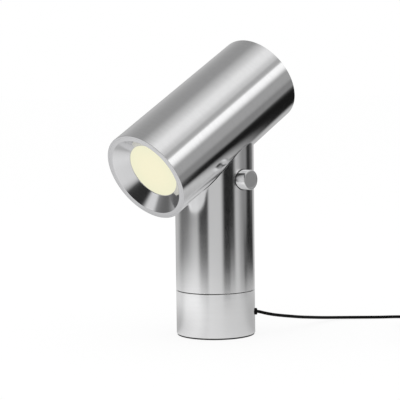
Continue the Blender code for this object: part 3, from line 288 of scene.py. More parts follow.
class SharedGroups:
    """Node groups for effects that several finishes have.

    Attributes:
        COARSENESS: How coarse the lines and the bands are, in pitches.
        LINE_NOISE: Detail and roughness of their noise.
        LINE_EDGES: The noise at which a line is lowest, and highest.
        MARK_EDGES: The noise at which a smudge or a scuff starts, and is full.
        MARK_NOISE: Detail and distortion of their noise.
        HOLLOWS: How fine the grain's hollows are against its cells, their detail, and their share in it.
    """

    COARSENESS = (("Lines", 1.0), ("Bands", 9.0))
    LINE_NOISE = (3.0, 0.62)
    LINE_EDGES = (0.28, 0.72)
    MARK_EDGES = (("Smudge", (0.42, 0.75)), ("Scuff", (0.62, 0.8)))
    MARK_NOISE = (4.0, 0.6)
    HOLLOWS = (0.45, 3.0, 0.45)

    def __init__(self) -> None:
        """Builds each group once."""
        self.turned_lines = self._turned_lines()
        self.handling = self._handling()
        self.moulded_grain = self._moulded_grain()

    def _turned_lines(self) -> bpy.types.NodeTree:
        """Fine lines that a lathe leaves, running round the local Z axis.

        Returns:
            The group. Its outputs are Lines, from 0 to 1, and Bands, which is the same but coarser.
        """
        graph, given, out = new_group(
            "turned_lines", {"Place": (0.0, 0.0, 0.0), "Pitch": 0.0002, "Wander": 1.2}, ("Lines", "Bands")
        )
        x, y, z = graph.split(given["Place"])
        radius = graph.from_axis(x, y)
        safe_radius = graph.math("MAXIMUM", radius, SAME_PLACE)
        across, along = (
            graph.math("MULTIPLY", graph.math("DIVIDE", part, safe_radius), given["Wander"]) for part in (x, y)
        )
        detail, roughness = self.LINE_NOISE
        for label, coarseness in self.COARSENESS:
            pitch = graph.math("MULTIPLY", given["Pitch"], coarseness)
            place = graph.join(graph.math("DIVIDE", radius, pitch), graph.math("DIVIDE", z, pitch), across)
            noise = graph.noise(place, 1.0, detail, roughness=roughness)
            noise.noise_dimensions = "4D"
            graph.feed(noise.inputs["W"], along)
            graph.feed(out[label], graph.rise(noise.outputs[0], *self.LINE_EDGES))
        return graph.tree

    def _handling(self) -> bpy.types.NodeTree:
        """Faint smudges and small scuffs from handling.

        Returns:
            The group. Its outputs are Smudge and Scuff, each from 0 to 1.
        """
        graph, given, out = new_group(
            "handling", {"Place": (0.0, 0.0, 0.0), "Smudge Size": 0.03, "Scuff Size": 0.004}, ("Smudge", "Scuff")
        )
        detail, distortion = self.MARK_NOISE
        for label, edges in self.MARK_EDGES:
            scale = graph.math("DIVIDE", 1.0, given[f"{label} Size"])
            noise = graph.noise(given["Place"], scale, detail, distortion=distortion)
            graph.feed(out[label], graph.rise(noise.outputs[0], *edges))
        return graph.tree

    def _moulded_grain(self) -> bpy.types.NodeTree:
        """The fine leathery grain of a moulded or cast surface.

        Returns:
            The group. Its output is Grain, from 0 to 1.
        """
        graph, given, out = new_group("moulded_grain", {"Place": (0.0, 0.0, 0.0), "Grain Size": 0.0006}, ("Grain",))
        scale = graph.math("DIVIDE", 1.0, given["Grain Size"])
        cells = graph.node("TexVoronoi", feature="SMOOTH_F1")
        graph.feed_all(cells, {"Vector": given["Place"], "Scale": scale})
        fineness, detail, share = self.HOLLOWS
        noise = graph.noise(given["Place"], graph.math("MULTIPLY", scale, fineness), detail)
        graph.feed(out["Grain"], graph.blend(share, cells.outputs["Distance"], noise.outputs[0]))
        return graph.tree


# ---- Finishes ----


@dataclass(frozen=True)
class Spindle:
    """The line that a piece was turned about.

    Attributes:
        centre: A point on the line.
        turn: Rotation, in radians, that takes the upright axis to the line.
    """

    centre: Triple = (0.0, 0.0, 0.0)
    turn: Triple = (0.0, 0.0, 0.0)

    @property
    def matrix(self) -> Matrix:
        """Takes a piece turned about the upright axis to its place."""
        across = Matrix.Rotation(self.turn[0], 4, "X") @ Matrix.Rotation(self.turn[1], 4, "Y")
        return Matrix.Translation(self.centre) @ across

    @property
    def axis(self) -> Vector:
        """The line's direction."""
        return self.matrix.to_3x3() @ Vector((0, 0, 1))


class Finish:
    """A finish that makes its material once, when a piece first asks for it."""

    name: str

    def build(self, graph: Graph, shader: bpy.types.Node, groups: SharedGroups) -> None:
        """Adds this finish's nodes.

        Args:
            graph: The material's graph.
            shader: Its Principled BSDF.
            groups: The shared node groups.
        """
        raise NotImplementedError

    def material(self, groups: SharedGroups) -> bpy.types.Material:
        """Makes the material, or finds it if it was made before.

        Args:
            groups: The shared node groups.

        Returns:
            The material.
        """
        found = bpy.data.materials.get(self.name)
        if found:
            return found
        made = bpy.data.materials.new(self.name)
        made.use_nodes = True
        self.build(Graph(made.node_tree), made.node_tree.nodes["Principled BSDF"], groups)
        return made


def piece_place(graph: Graph, spindle: Spindle = Spindle()) -> Socket:
    """Object coordinates, taken to a turned piece's own axis.

    Args:
        graph: The material's graph.
        spindle: The line that the piece was turned about.

    Returns:
        The place as a vector, in metres.
    """
    mapping = graph.node("Mapping", vector_type="TEXTURE")
    graph.feed(mapping.inputs["Vector"], graph.node("TexCoord").outputs["Object"])
    mapping.inputs["Location"].default_value = spindle.centre
    mapping.inputs["Rotation"].default_value = spindle.turn
    return mapping.outputs[0]


def use_group(graph: Graph, tree: bpy.types.NodeTree, place: Socket, **values: float) -> bpy.types.Node:
    """Places a shared group in a material.

    Args:
        graph: The material's graph.
        tree: The group.
        place: What feeds its Place input.
        values: Its other inputs, with underscores for spaces.

    Returns:
        The group's node.
    """
    made = graph.node("Group", node_tree=tree)
    graph.feed(made.inputs["Place"], place)
    for label, value in values.items():
        made.inputs[label.replace("_", " ").title()].default_value = value
    return made


def add_bump(graph: Graph, shader: bpy.types.Node, height: Socket, depth: float) -> None:
    """Feeds a height to the shader's normal.

    Args:
        graph: The material's graph.
        shader: Its Principled BSDF.
        height: A height from 0 to 1.
        depth: What a height of 1 is, in metres.
    """
    bump = graph.node("Bump")
    graph.feed_all(bump, {"Strength": 1.0, "Distance": depth, "Height": height})
    graph.feed(shader.inputs["Normal"], bump.outputs[0])


@dataclass(frozen=True)
class TurnedMetal(Finish):
    """Bare metal turned on a lathe: fine lines round its axis stretch every reflection across them.

    Attributes:
        name: The material's name.
        spindle: The line that the piece was turned about.
        colour: The metal's colour.
        roughness: Roughness between the lines.
        stretch: How far reflections are stretched across the lines.
        line_pitch: Width of a line.
        line_depth: Depth of a line.
        tone: How much darker the deepest lines are.
        wander: How quickly the lines change round the piece.
        rough_spread: Roughness in the deepest lines and on the highest, as shares of the metal's own.
        smudging: What a full smudge adds to it, as a share.
    """

    name: str
    spindle: Spindle = Spindle()
    colour: Triple = (0.9, 0.9, 0.905)
    roughness: float = 0.2
    stretch: float = 0.6
    line_pitch: float = 0.00022
    line_depth: float = 4e-7
    tone: float = 0.03
    wander: float = 1.2
    rough_spread: tuple[float, float] = (1.06, 0.95)
    smudging: float = 0.12

    def build(self, graph: Graph, shader: bpy.types.Node, groups: SharedGroups) -> None:
        """Adds the lines, smudges and the stretch.

        Args:
            graph: The material's graph.
            shader: Its Principled BSDF.
            groups: The shared node groups.
        """
        place = piece_place(graph, self.spindle)
        lines = use_group(graph, groups.turned_lines, place, pitch=self.line_pitch, wander=self.wander)
        marks = use_group(graph, groups.handling, place)
        darker = tuple(channel * (1 - self.tone) for channel in self.colour)
        tone = graph.blend(0.5, lines.outputs["Lines"], lines.outputs["Bands"])
        lined = graph.rise(tone, 0.0, 1.0, *(self.roughness * share for share in self.rough_spread))
        smudged = graph.math("MULTIPLY_ADD", marks.outputs["Smudge"], self.roughness * self.smudging, lined)
        graph.feed_all(shader, {
            "Base Color": graph.blend_colour(tone, darker, self.colour),
            "Roughness": smudged,
            "Metallic": 1.0,
            "Anisotropic": self.stretch,
            "Anisotropic Rotation": QUARTER_TURN,
            "Tangent": self._round_the_axis(graph),
        })
        add_bump(graph, shader, lines.outputs["Lines"], self.line_depth)

    def _round_the_axis(self, graph: Graph) -> Socket:
        """The direction of the lines at each point.

        Args:
            graph: The material's graph.

        Returns:
            A vector in world space, which follows the piece when it moves.
        """
        place = graph.node("TexCoord").outputs["Object"]
        from_centre = graph.vector("SUBTRACT", place, self.spindle.centre)
        around = graph.vector("CROSS_PRODUCT", tuple(self.spindle.axis), from_centre.outputs["Vector"])
        world = graph.node("VectorTransform", vector_type="VECTOR", convert_from="OBJECT", convert_to="WORLD")
        graph.feed(world.inputs[0], around.outputs["Vector"])
        return world.outputs[0]


@dataclass(frozen=True)
class RimmedMetal(TurnedMetal):
    """Turned metal with a duller flat rim at its front.

    Attributes:
        rim_start: Distance from the axis at which the rim starts.
        front: Where the rim lies along the axis.
        rim_colour: The rim's colour.
    """

    rim_start: float = 0.04
    front: float = 0.1
    rim_colour: Triple = (0.62, 0.62, 0.63)

    def build(self, graph: Graph, shader: bpy.types.Node, groups: SharedGroups) -> None:
        """Adds the rim to a turned finish.

        Args:
            graph: The material's graph.
            shader: Its Principled BSDF.
            groups: The shared node groups.
        """
        super().build(graph, shader, groups)
        x, y, z = graph.split(piece_place(graph, self.spindle))
        far_out = graph.rise(graph.from_axis(x, y), self.rim_start - GAP, self.rim_start)
        in_front = graph.rise(z, self.front - GAP, self.front - GAP / 2)
        bright = shader.inputs["Base Color"].links[0].from_socket
        on_rim = graph.math("MULTIPLY", far_out, in_front)
        graph.feed(shader.inputs["Base Color"], graph.blend_colour(on_rim, bright, self.rim_colour))


@dataclass(frozen=True)
class PlainMetal(Finish):
    """Plated, cast or pressed metal without a turning direction.

    Attributes:
        name: The material's name.
        colour: The metal's colour.
        dull: Its colour where it has dulled.
        roughness: Its roughness.
        grain_size: Size of the surface's grain.
        grain_depth: Depth of the grain.
        metallic: 1 for bare metal, less for painted.
        scuffing: What a full scuff adds to the roughness.
    """

    name: str
    colour: Triple
    dull: Triple
    roughness: float = 0.35
    grain_size: float = 0.0005
    grain_depth: float = 4e-6
    metallic: float = 1.0
    scuffing: float = 0.15

    def build(self, graph: Graph, shader: bpy.types.Node, groups: SharedGroups) -> None:
        """Adds dulled patches and grain.

        Args:
            graph: The material's graph.
            shader: Its Principled BSDF.
            groups: The shared node groups.
        """
        place = piece_place(graph)
        grain = use_group(graph, groups.moulded_grain, place, grain_size=self.grain_size)
        marks = use_group(graph, groups.handling, place, smudge_size=0.008, scuff_size=0.0015)
        graph.feed_all(shader, {
            "Base Color": graph.blend_colour(marks.outputs["Smudge"], self.colour, self.dull),
            "Roughness": graph.math("MULTIPLY_ADD", marks.outputs["Scuff"], self.scuffing, self.roughness),
            "Metallic": self.metallic,
        })
        add_bump(graph, shader, grain.outputs["Grain"], self.grain_depth)


@dataclass(frozen=True)
class Moulding(Finish):
    """Moulded plastic or rubber with a fine grain and a little dust in it.

    Attributes:
        name: The material's name.
        colour: The moulding's colour.
        dust: Its colour where dust lies or it is scuffed.
        roughness: Its roughness.
        grain_size: Size of the grain.
        grain_depth: Depth of the grain.
        shine: Strength of its surface reflection, 0.5 for common plastics.
        dusting: Share of the dust's colour in a full smudge.
        polishing: What a full scuff takes off the roughness.
        graining: What the grain adds to it.
    """

    name: str
    colour: Triple
    dust: Triple
    roughness: float = 0.45
    grain_size: float = 0.0006
    grain_depth: float = 2e-5
    shine: float = 0.5
    dusting: float = 0.5
    polishing: float = 0.12
    graining: float = 0.08

    def build(self, graph: Graph, shader: bpy.types.Node, groups: SharedGroups) -> None:
        """Adds grain, dust and worn spots.

        Args:
            graph: The material's graph.
            shader: Its Principled BSDF.
            groups: The shared node groups.
        """
        place = piece_place(graph)
        grain = use_group(graph, groups.moulded_grain, place, grain_size=self.grain_size).outputs["Grain"]
        marks = use_group(graph, groups.handling, place, smudge_size=0.012, scuff_size=0.002)
        dusty = graph.math("MULTIPLY", marks.outputs["Smudge"], self.dusting)
        worn = graph.math("MULTIPLY_ADD", marks.outputs["Scuff"], -self.polishing, self.roughness)
        graph.feed_all(shader, {
            "Base Color": graph.blend_colour(dusty, self.colour, self.dust),
            "Roughness": graph.math("MULTIPLY_ADD", grain, self.graining, worn),
            "Specular IOR Level": self.shine,
        })
        add_bump(graph, shader, grain, self.grain_depth)


@dataclass(frozen=True)
class OpalGlow(Finish):
    """Opal acrylic lit evenly from behind, a shade warmer at its middle.

    Attributes:
        name: The material's name.
        spindle: The disc's axis.
        radius: The disc's radius.
        rim_glow: Colour of the light near the edge.
        middle_glow: Colour of the light at the middle.
        mirrored_glow: Colour of the light where metal mirrors it.
        strength: Strength of the light.
        middle_share: Share of the radius that has the middle's colour.
        body: The acrylic's two colours, which its grain mixes.
        roughness: Its roughness in the grain's hollows and on top.
        shine: Strength of its surface reflection.
        grain_size: Size of the grain.
        grain_depth: Depth of the grain.
    """

    name: str
    spindle: Spindle
    radius: float
    rim_glow: Triple = (0.84, 0.83, 0.60)
    middle_glow: Triple = (0.88, 0.84, 0.60)
    mirrored_glow: Triple = (0.55, 0.55, 0.53)
    strength: float = 0.8
    middle_share: float = 0.35
    body: tuple[Triple, Triple] = ((0.2, 0.19, 0.15), (0.24, 0.23, 0.18))
    roughness: tuple[float, float] = (0.5, 0.62)
    shine: float = 0.2
    grain_size: float = 0.0009
    grain_depth: float = 1e-5

    def build(self, graph: Graph, shader: bpy.types.Node, groups: SharedGroups) -> None:
        """Adds the glow and the satin surface.

        Args:
            graph: The material's graph.
            shader: Its Principled BSDF.
            groups: The shared node groups.
        """
        place = piece_place(graph, self.spindle)
        grain = use_group(graph, groups.moulded_grain, place, grain_size=self.grain_size).outputs["Grain"]
        x, y, _ = graph.split(place)
        edge = graph.rise(graph.from_axis(x, y), self.radius * self.middle_share, self.radius)
        glow = graph.blend_colour(edge, self.middle_glow, self.rim_glow)
        mirrored = graph.node("LightPath").outputs["Is Glossy Ray"]
        graph.feed_all(shader, {
            "Base Color": graph.blend_colour(grain, *self.body),
            "Roughness": graph.rise(grain, 0.0, 1.0, *self.roughness),
            "Specular IOR Level": self.shine,
            "Emission Color": graph.blend_colour(mirrored, glow, self.mirrored_glow),
            "Emission Strength": self.strength,
        })
        add_bump(graph, shader, grain, self.grain_depth)


@dataclass(frozen=True)
class CircuitLaminate(Finish):
    """Green circuit board with copper tracks under its mask.

    Attributes:
        name: The material's name.
        mask: Colour of the mask between the tracks.
        track: Its colour over a track.
        track_pitch: Distance between tracks.
        track_edge: Where a track ends and where it is full, as shares of the way to the next.
        roughness: Roughness between the tracks and over them.
        track_depth: How far a track stands up.
    """

    name: str = "circuit_laminate"
    mask: Triple = (0.012, 0.11, 0.045)
    track: Triple = (0.03, 0.2, 0.08)
    track_pitch: float = 0.004
    track_edge: tuple[float, float] = (0.06, 0.1)
    roughness: tuple[float, float] = (0.38, 0.28)
    track_depth: float = 3e-5

    def build(self, graph: Graph, shader: bpy.types.Node, groups: SharedGroups) -> None:
        """Adds tracks and the mask's sheen.

        Args:
            graph: The material's graph.
            shader: Its Principled BSDF.
            groups: The shared node groups.
        """
        cells = graph.node("TexVoronoi", feature="DISTANCE_TO_EDGE", distance="CHEBYCHEV")
        graph.feed_all(cells, {"Vector": piece_place(graph), "Scale": 1 / self.track_pitch})
        tracks = graph.rise(cells.outputs["Distance"], *self.track_edge, 1.0, 0.0)
        graph.feed_all(shader, {
            "Base Color": graph.blend_colour(tracks, self.mask, self.track),
            "Roughness": graph.rise(tracks, 0.0, 1.0, *self.roughness),
        })
        add_bump(graph, shader, tracks, self.track_depth)


@dataclass(frozen=True)
class Winding(Finish):
    """Enamelled copper wire wound round a core.

    Attributes:
        name: The material's name.
        wire: Thickness of the wire.
        bright: Colour on top of the wire.
        shade: Colour between the turns.
        unevenness: How uneven the turns are.
        roughness: Roughness between the turns and on top of them.
        bare_edge: Height in a turn at which the wire starts to look like metal, and fully does.
        metallic: How much like metal it looks below and above that.
    """

    name: str = "copper_winding"
    wire: float = 0.0007
    bright: Triple = (0.72, 0.3, 0.12)
    shade: Triple = (0.16, 0.06, 0.03)
    unevenness: float = 0.4
    roughness: tuple[float, float] = (0.6, 0.3)
    bare_edge: tuple[float, float] = (0.1, 0.5)
    metallic: tuple[float, float] = (0.2, 1.0)

    def build(self, graph: Graph, shader: bpy.types.Node, groups: SharedGroups) -> None:
        """Adds the wire's turns.

        Args:
            graph: The material's graph.
            shader: Its Principled BSDF.
            groups: The shared node groups.
        """
        wave = graph.node("TexWave", wave_type="BANDS", bands_direction="Z", wave_profile="SIN")
        scale = math.pi / (10 * self.wire)
        graph.feed_all(wave, {"Vector": piece_place(graph), "Scale": scale, "Distortion": self.unevenness})
        turns = wave.outputs["Fac"]
        graph.feed_all(shader, {
            "Base Color": graph.blend_colour(turns, self.shade, self.bright),
            "Roughness": graph.rise(turns, 0.0, 1.0, *self.roughness),
            "Metallic": graph.rise(turns, *self.bare_edge, *self.metallic),
        })
        add_bump(graph, shader, turns, self.wire / 2)


# ---- Mesh work ----


@dataclass(frozen=True)
class Corner:
    """One corner of a turned piece's section.

    Attributes:
        radius: Its distance from the axis.
        height: Its place along the axis.
        edge: Width of the rounded edge there, or 0 to leave it sharp.
        steps: Faces across the rounded edge.
    """

    radius: float
    height: float
    edge: float = 0.0
    steps: int = 3

    def holds(self, spot: Vector) -> bool:
        """Tells whether a point lies on the ring that the corner makes."""
        out = math.hypot(spot.x, spot.y) - self.radius
        return abs(out) < SAME_PLACE and abs(spot.z - self.height) < SAME_PLACE


def turn_piece(corners: Sequence[Corner], closed: bool = True, columns: int = FINE_COLUMNS) -> bmesh.types.BMesh:
    """Spins a section about the upright axis and rounds its edges.

    Args:
        corners: The section's corners in order.
        closed: Whether the last corner joins the first. An open section starts and ends on the axis.
        columns: Faces round the piece.

    Returns:
        The closed solid.
    """
    form = bmesh.new()
    line = [form.verts.new((corner.radius, 0, corner.height)) for corner in corners]
    pairs = list(zip(line, line[1:]))
    if closed:
        pairs.append((line[-1], line[0]))
    edges = [form.edges.new(pair) for pair in pairs]
    bmesh.ops.spin(
        form, geom=[*line, *edges], cent=(0, 0, 0), axis=(0, 0, 1), angle=2 * math.pi, steps=columns, use_merge=True
    )
    bmesh.ops.remove_doubles(form, verts=form.verts, dist=SAME_PLACE)
    bmesh.ops.recalc_face_normals(form, faces=form.faces)
    for corner in corners:
        if corner.edge:
            ring = [edge for edge in form.edges if all(corner.holds(end.co) for end in edge.verts)]
            round_edges(form, ring, corner.edge, corner.steps)
    return form


def round_edges(form: bmesh.types.BMesh, edges: Sequence[bmesh.types.BMEdge], width: float, steps: int = 3) -> None:
    """Rounds edges of a mesh to a width, with so many faces across."""
    bmesh.ops.bevel(
        form, geom=edges, offset=width, offset_type="OFFSET", segments=steps, profile=0.5, affect="EDGES",
        clamp_overlap=True, material=-1,
    )


def cylinder(radius: float, low: float, high: float, columns: int = SMALL_COLUMNS) -> bmesh.types.BMesh:
    """A closed cylinder along the upright axis, for use as a cutter or a boss.

    Args:
        radius: Its radius.
        low: Height of its foot.
        high: Height of its top.
        columns: Faces round it.

    Returns:
        The solid.
    """
    form = bmesh.new()
    bmesh.ops.create_cone(
        form, cap_ends=True, segments=columns, radius1=radius, radius2=radius, depth=high - low,
        matrix=Matrix.Translation((0, 0, (low + high) / 2)),
    )
    return form


def box(low: Triple, high: Triple) -> bmesh.types.BMesh:
    """A block, for use as a cutter or as the start of a rounded piece.

    Args:
        low: Its corner with the lowest coordinates.
        high: Its corner with the highest.

    Returns:
        The solid.
    """
    form = bmesh.new()
    size = [b - a for a, b in zip(low, high)]
    middle = [(a + b) / 2 for a, b in zip(low, high)]
    bmesh.ops.create_cube(form, size=1.0, matrix=Matrix.Translation(middle) @ Matrix.Diagonal((*size, 1.0)))
    return form


def upright_to(way: Vector) -> Matrix:
    """The rotation that takes the upright axis to a direction."""
    return way.to_track_quat("Z", "Y").to_matrix().to_4x4()


def into_scene(name: str, data: bpy.types.ID) -> bpy.types.Object:
    """Makes an object and puts it into the scene.

    Args:
        name: The object's name.
        data: What it shows.

    Returns:
        The object.
    """
    made = bpy.data.objects.new(name, data)
    bpy.context.scene.collection.objects.link(made)
    return made


def new_object(name: str, form: bmesh.types.BMesh, matrix: Matrix | None = None) -> bpy.types.Object:
    """Puts a mesh into the scene.

    Args:
        name: The object's name.
        form: The mesh, which is freed.
        matrix: Takes the mesh to its place. The object itself stays at the origin.

    Returns:
        The object.
    """
    if matrix is not None:
        bmesh.ops.transform(form, matrix=matrix, verts=form.verts)
    mesh = bpy.data.meshes.new(name)
    form.to_mesh(mesh)
    form.free()
    return into_scene(name, mesh)


def carve(obj: bpy.types.Object, *cutters: tuple[bmesh.types.BMesh, Matrix | None], join: bool = False) -> None:
    """Cuts closed shapes out of a piece, or joins them to it, for good.

    Args:
        obj: The piece.
        cutters: Each shape with the matrix that takes it to its place. They are freed.
        join: Whether they are joined on instead of cut out.
    """
    for form, matrix in cutters:
        cutter = new_object(f"{obj.name}_cutter", form, matrix)
        modifier = obj.modifiers.new("carve", "BOOLEAN")
        modifier.operation = "UNION" if join else "DIFFERENCE"
        modifier.solver = "EXACT"
        modifier.object = cutter
        bpy.context.view_layer.update()
        carved = bpy.data.meshes.new_from_object(obj.evaluated_get(bpy.context.evaluated_depsgraph_get()))
        obj.modifiers.remove(modifier)
        old, shape = obj.data, cutter.data
        obj.data = carved
        bpy.data.objects.remove(cutter)
        bpy.data.meshes.remove(old)
        bpy.data.meshes.remove(shape)
        carved.name = obj.name


class Workshop:
    """Dresses pieces and hands them to the frame."""

    def __init__(self, frame: dict, groups: SharedGroups) -> None:
        """Args:
        groups: The shared node groups.
        """
        self.nodes: dict[str, bpy.types.Object] = frame["nodes"]
        self.groups = groups
        self.bare = set(self.nodes)

    def hand_over(
        self, obj: bpy.types.Object, finish: Finish, body: Body, slot: str, nodes: Iterable[str]
    ) -> bpy.types.Object:
        """Finishes a new piece: its shading, its material, the body it rides and the nodes it stands for.

        Args:
            obj: The piece.
            finish: Its finish.
            body: The body it rides.
            slot: The record's material slot; not used.
            nodes: CAD nodes that it replaces.

        Returns:
            The piece.
        """
        obj.data.materials.clear()
        obj.data.materials.append(finish.material(self.groups))
        if obj.type == "MESH":
            obj.data.shade_smooth()
            obj.data.set_sharp_from_angle(angle=math.radians(SMOOTH_ANGLE))
            weighted = obj.modifiers.new("flat faces stay flat", "WEIGHTED_NORMAL")
            weighted.keep_sharp = True
        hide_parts(*nodes)
        self.bare -= set(nodes)
        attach(obj, body.value)
        LOG.info("%s rides on %s", obj.name, body.value)
        return obj

    def dress(self, finishes: Iterable[tuple[Finish, str]]) -> None:
        """Gives CAD nodes that stay their finishes.

        Args:
            finishes: Each finish with the names of its nodes.
        """
        for finish, names in finishes:
            for name in names.split():
                materials = self.nodes[name].data.materials
                made = finish.material(self.groups)
                if not materials:
                    materials.append(made)
                for index in range(len(materials)):
                    materials[index] = made
                self.bare.discard(name)
                LOG.info("%s keeps its shape and is %s", name, finish.name)


# ---- Sizes that the pieces share ----


@dataclass(frozen=True)
class LampSizes:
    """Driving sizes of the lamp, in metres, and the places that follow from them."""

    head_radius: float = 0.047
    head_front: float = 0.110
    head_rear: float = 0.076
    head_wall: float = 0.002
    rim_width: float = 0.0058
    head_crossing: float = 0.2192
    tilt: float = math.radians(30)
    tilt_range: float = math.radians(30)
    pivot_drop: float = 0.034
    pivot_y: float = 0.0283
    stem_radius: float = 0.040
    stem_wall: float = 0.002
    saddle_gap: float = 0.0005

    @property
    def head_spindle(self) -> Spindle:
        """The head's axis, from where it crosses the stem's, towards the light."""
        return Spindle((0.0, 0.0, self.head_crossing), (math.pi / 2 + self.tilt, 0.0, 0.0))

    @property
    def pivot_back(self) -> float:
        """How far the tilt pin lies behind the crossing, along the head."""
        return (self.pivot_y - self.pivot_drop * math.sin(self.tilt)) / math.cos(self.tilt)

    @property
    def pivot(self) -> Vector:
        """The tilt pin's middle."""
        height = self.head_crossing + self.pivot_back * math.sin(self.tilt) - self.pivot_drop * math.cos(self.tilt)
        return Vector((0, self.pivot_y, height))

    def saddle_height(self, spot: Vector, clearance: float, steps: int = 12) -> float:
        """Height of the hollow that the head sweeps as it tilts.

        Args:
            spot: A point, of which only x and y count.
            clearance: Distance from the head's surface.
            steps: Tilt positions that are looked at.

        Returns:
            The lowest height at that point, in metres.
        """
        radius = self.head_radius + clearance
        drop = math.sqrt(max(radius * radius - spot.x * spot.x, 0.0))
        lowest = math.inf
        for step in range(steps + 1):
            angle = self.tilt - self.tilt_range * step / steps
            ahead = Vector((0, -math.cos(angle), -math.sin(angle)))
            up = Vector((0, -math.sin(angle), math.cos(angle)))
            crossing = self.pivot + self.pivot_drop * up + self.pivot_back * ahead
            height = crossing.z + (math.sin(angle) * (spot.y - crossing.y) - drop) / math.cos(angle)
            lowest = min(lowest, height)
        return lowest


SIZES = LampSizes()


# ---- Camera, floor and light ----


@dataclass(frozen=True)
class View:
    """The photograph's point of view.

    Attributes:
        place: Where the camera stands.
        aim: The point on its middle line at the lamp's distance.
        roll_degrees: Turn about that line, clockwise as the camera looks.
        lens_mm: Focal length on a sensor that is sensor_mm wide.
        sensor_mm: Width of the sensor.
        nearest: Distance at which the view starts.
        furthest: Distance at which it ends.
    """

    place: Triple = (0.97216, -1.00107, 0.24717)
    aim: Triple = (-0.00741, -0.01344, 0.13690)
    roll_degrees: float = 0.686
    lens_mm: float = 124.45
    sensor_mm: float = 36.0
    nearest: float = 0.01
    furthest: float = 100.0

    def build(self) -> None:
        """Makes the scene's camera."""
        data = bpy.data.cameras.new("photo_view")
        data.lens = self.lens_mm
        data.sensor_width = self.sensor_mm
        data.sensor_fit = "HORIZONTAL"
        data.clip_start = self.nearest
        data.clip_end = self.furthest
        camera = into_scene("photo_view", data)
        roll = Matrix.Rotation(-math.radians(self.roll_degrees), 4, "Z")
        camera.matrix_world = looking(Vector(self.place), Vector(self.aim)) @ roll
        bpy.context.scene.camera = camera


def looking(place: Vector, aim: Vector) -> Matrix:
    """The matrix of a camera or a light that stands at a place and looks at its aim."""
    return Matrix.Translation(place) @ (aim - place).to_track_quat("-Z", "Y").to_matrix().to_4x4()


def soft_band(graph: Graph, value: Socket, span: tuple[float, float], edges: tuple[float, float]) -> Socket:
    """Tells how far a value lies inside a span with soft ends.

    Args:
        graph: The graph to add to.
        value: The value looked at.
        span: Where the start's edge begins, and where the end's does.
        edges: Widths of these two edges.

    Returns:
        1 well inside the span, 0 outside it.
    """
    begins = graph.rise(value, span[0], span[0] + edges[0])
    ends = graph.rise(value, span[1], span[1] + edges[1], 1.0, 0.0)
    return graph.math("MULTIPLY", begins, ends)


@dataclass(frozen=True)
class Flag:
    """A card round the table, or a stretch of the table's edge, seen only in the metal.

    Attributes:
        name: What it is, which also labels its node.
        bearing: Its middle, in degrees from the way the lamp points, towards the knob.
        half_width: Half its width, in degrees.
        softness: Width of its soft edge, in degrees.
        level: What it sets there: how bright it is, where 1 is white, or a distance in metres.
    """

    name: str
    bearing: float
    half_width: float
    softness: float
    level: float

    def add(self, graph: Graph, bearing: Socket, behind: Socket | float) -> Socket:
        """Puts the card in front of what stands behind it.

        Args:
            graph: The graph to add to.
            bearing: The bearing looked at, in degrees.
            behind: The level there without the card.

        Returns:
            The level with the card.
        """
        off = graph.math("WRAP", graph.math("SUBTRACT", bearing, self.bearing), HALF_TURN, -HALF_TURN)
        edge = self.softness / 2
        mask = graph.rise(graph.math("ABSOLUTE", off), self.half_width - edge, self.half_width + edge, 1.0, 0.0)
        made = graph.blend(mask, behind, self.level)
        made.node.label = self.name
        return made


@dataclass(frozen=True)
class HighFlag(Flag):
    """A card that hangs above the horizon.

    Attributes:
        foot: Height of its lower edge, in degrees.
        top: Height of its upper edge.
        edge: Width of these two soft edges.
    """

    foot: float
    top: float
    edge: float = 6.0

    def add_high(self, graph: Graph, bearing: Socket, height: Socket, behind: Socket) -> Socket:
        """Puts the card in front of what is behind it, between its two heights. See Flag.add."""
        mask = soft_band(graph, height, (self.foot, self.top), (self.edge, self.edge))
        return graph.blend(mask, behind, self.add(graph, bearing, behind))


@dataclass(frozen=True)
class Strip:
    """A long light or gap overhead, seen only in the metal.

    Attributes:
        name: What it is, which also labels its node.
        start: Where it is full, in degrees over from the zenith towards the key side.
        end: Where it begins to end.
        soft_start: Width of its soft edge before the start.
        soft_end: Width of its soft edge past the end.
        level: How bright it is, where 1 is white.
    """

    name: str
    start: float
    end: float
    soft_start: float
    soft_end: float
    level: float

    def add(self, graph: Graph, over: Socket, behind: Socket) -> Socket:
        """Puts the strip in front of what is behind it.

        Args:
            graph: The graph to add to.
            over: How far over from the zenith is looked at, in degrees.
            behind: How bright it is there without the strip.

        Returns:
            How bright it is with the strip.
        """
        mask = soft_band(graph, over, (self.start - self.soft_start, self.end), (self.soft_start, self.soft_end))
        made = graph.blend(mask, behind, self.level)
        made.node.label = self.name
        return made


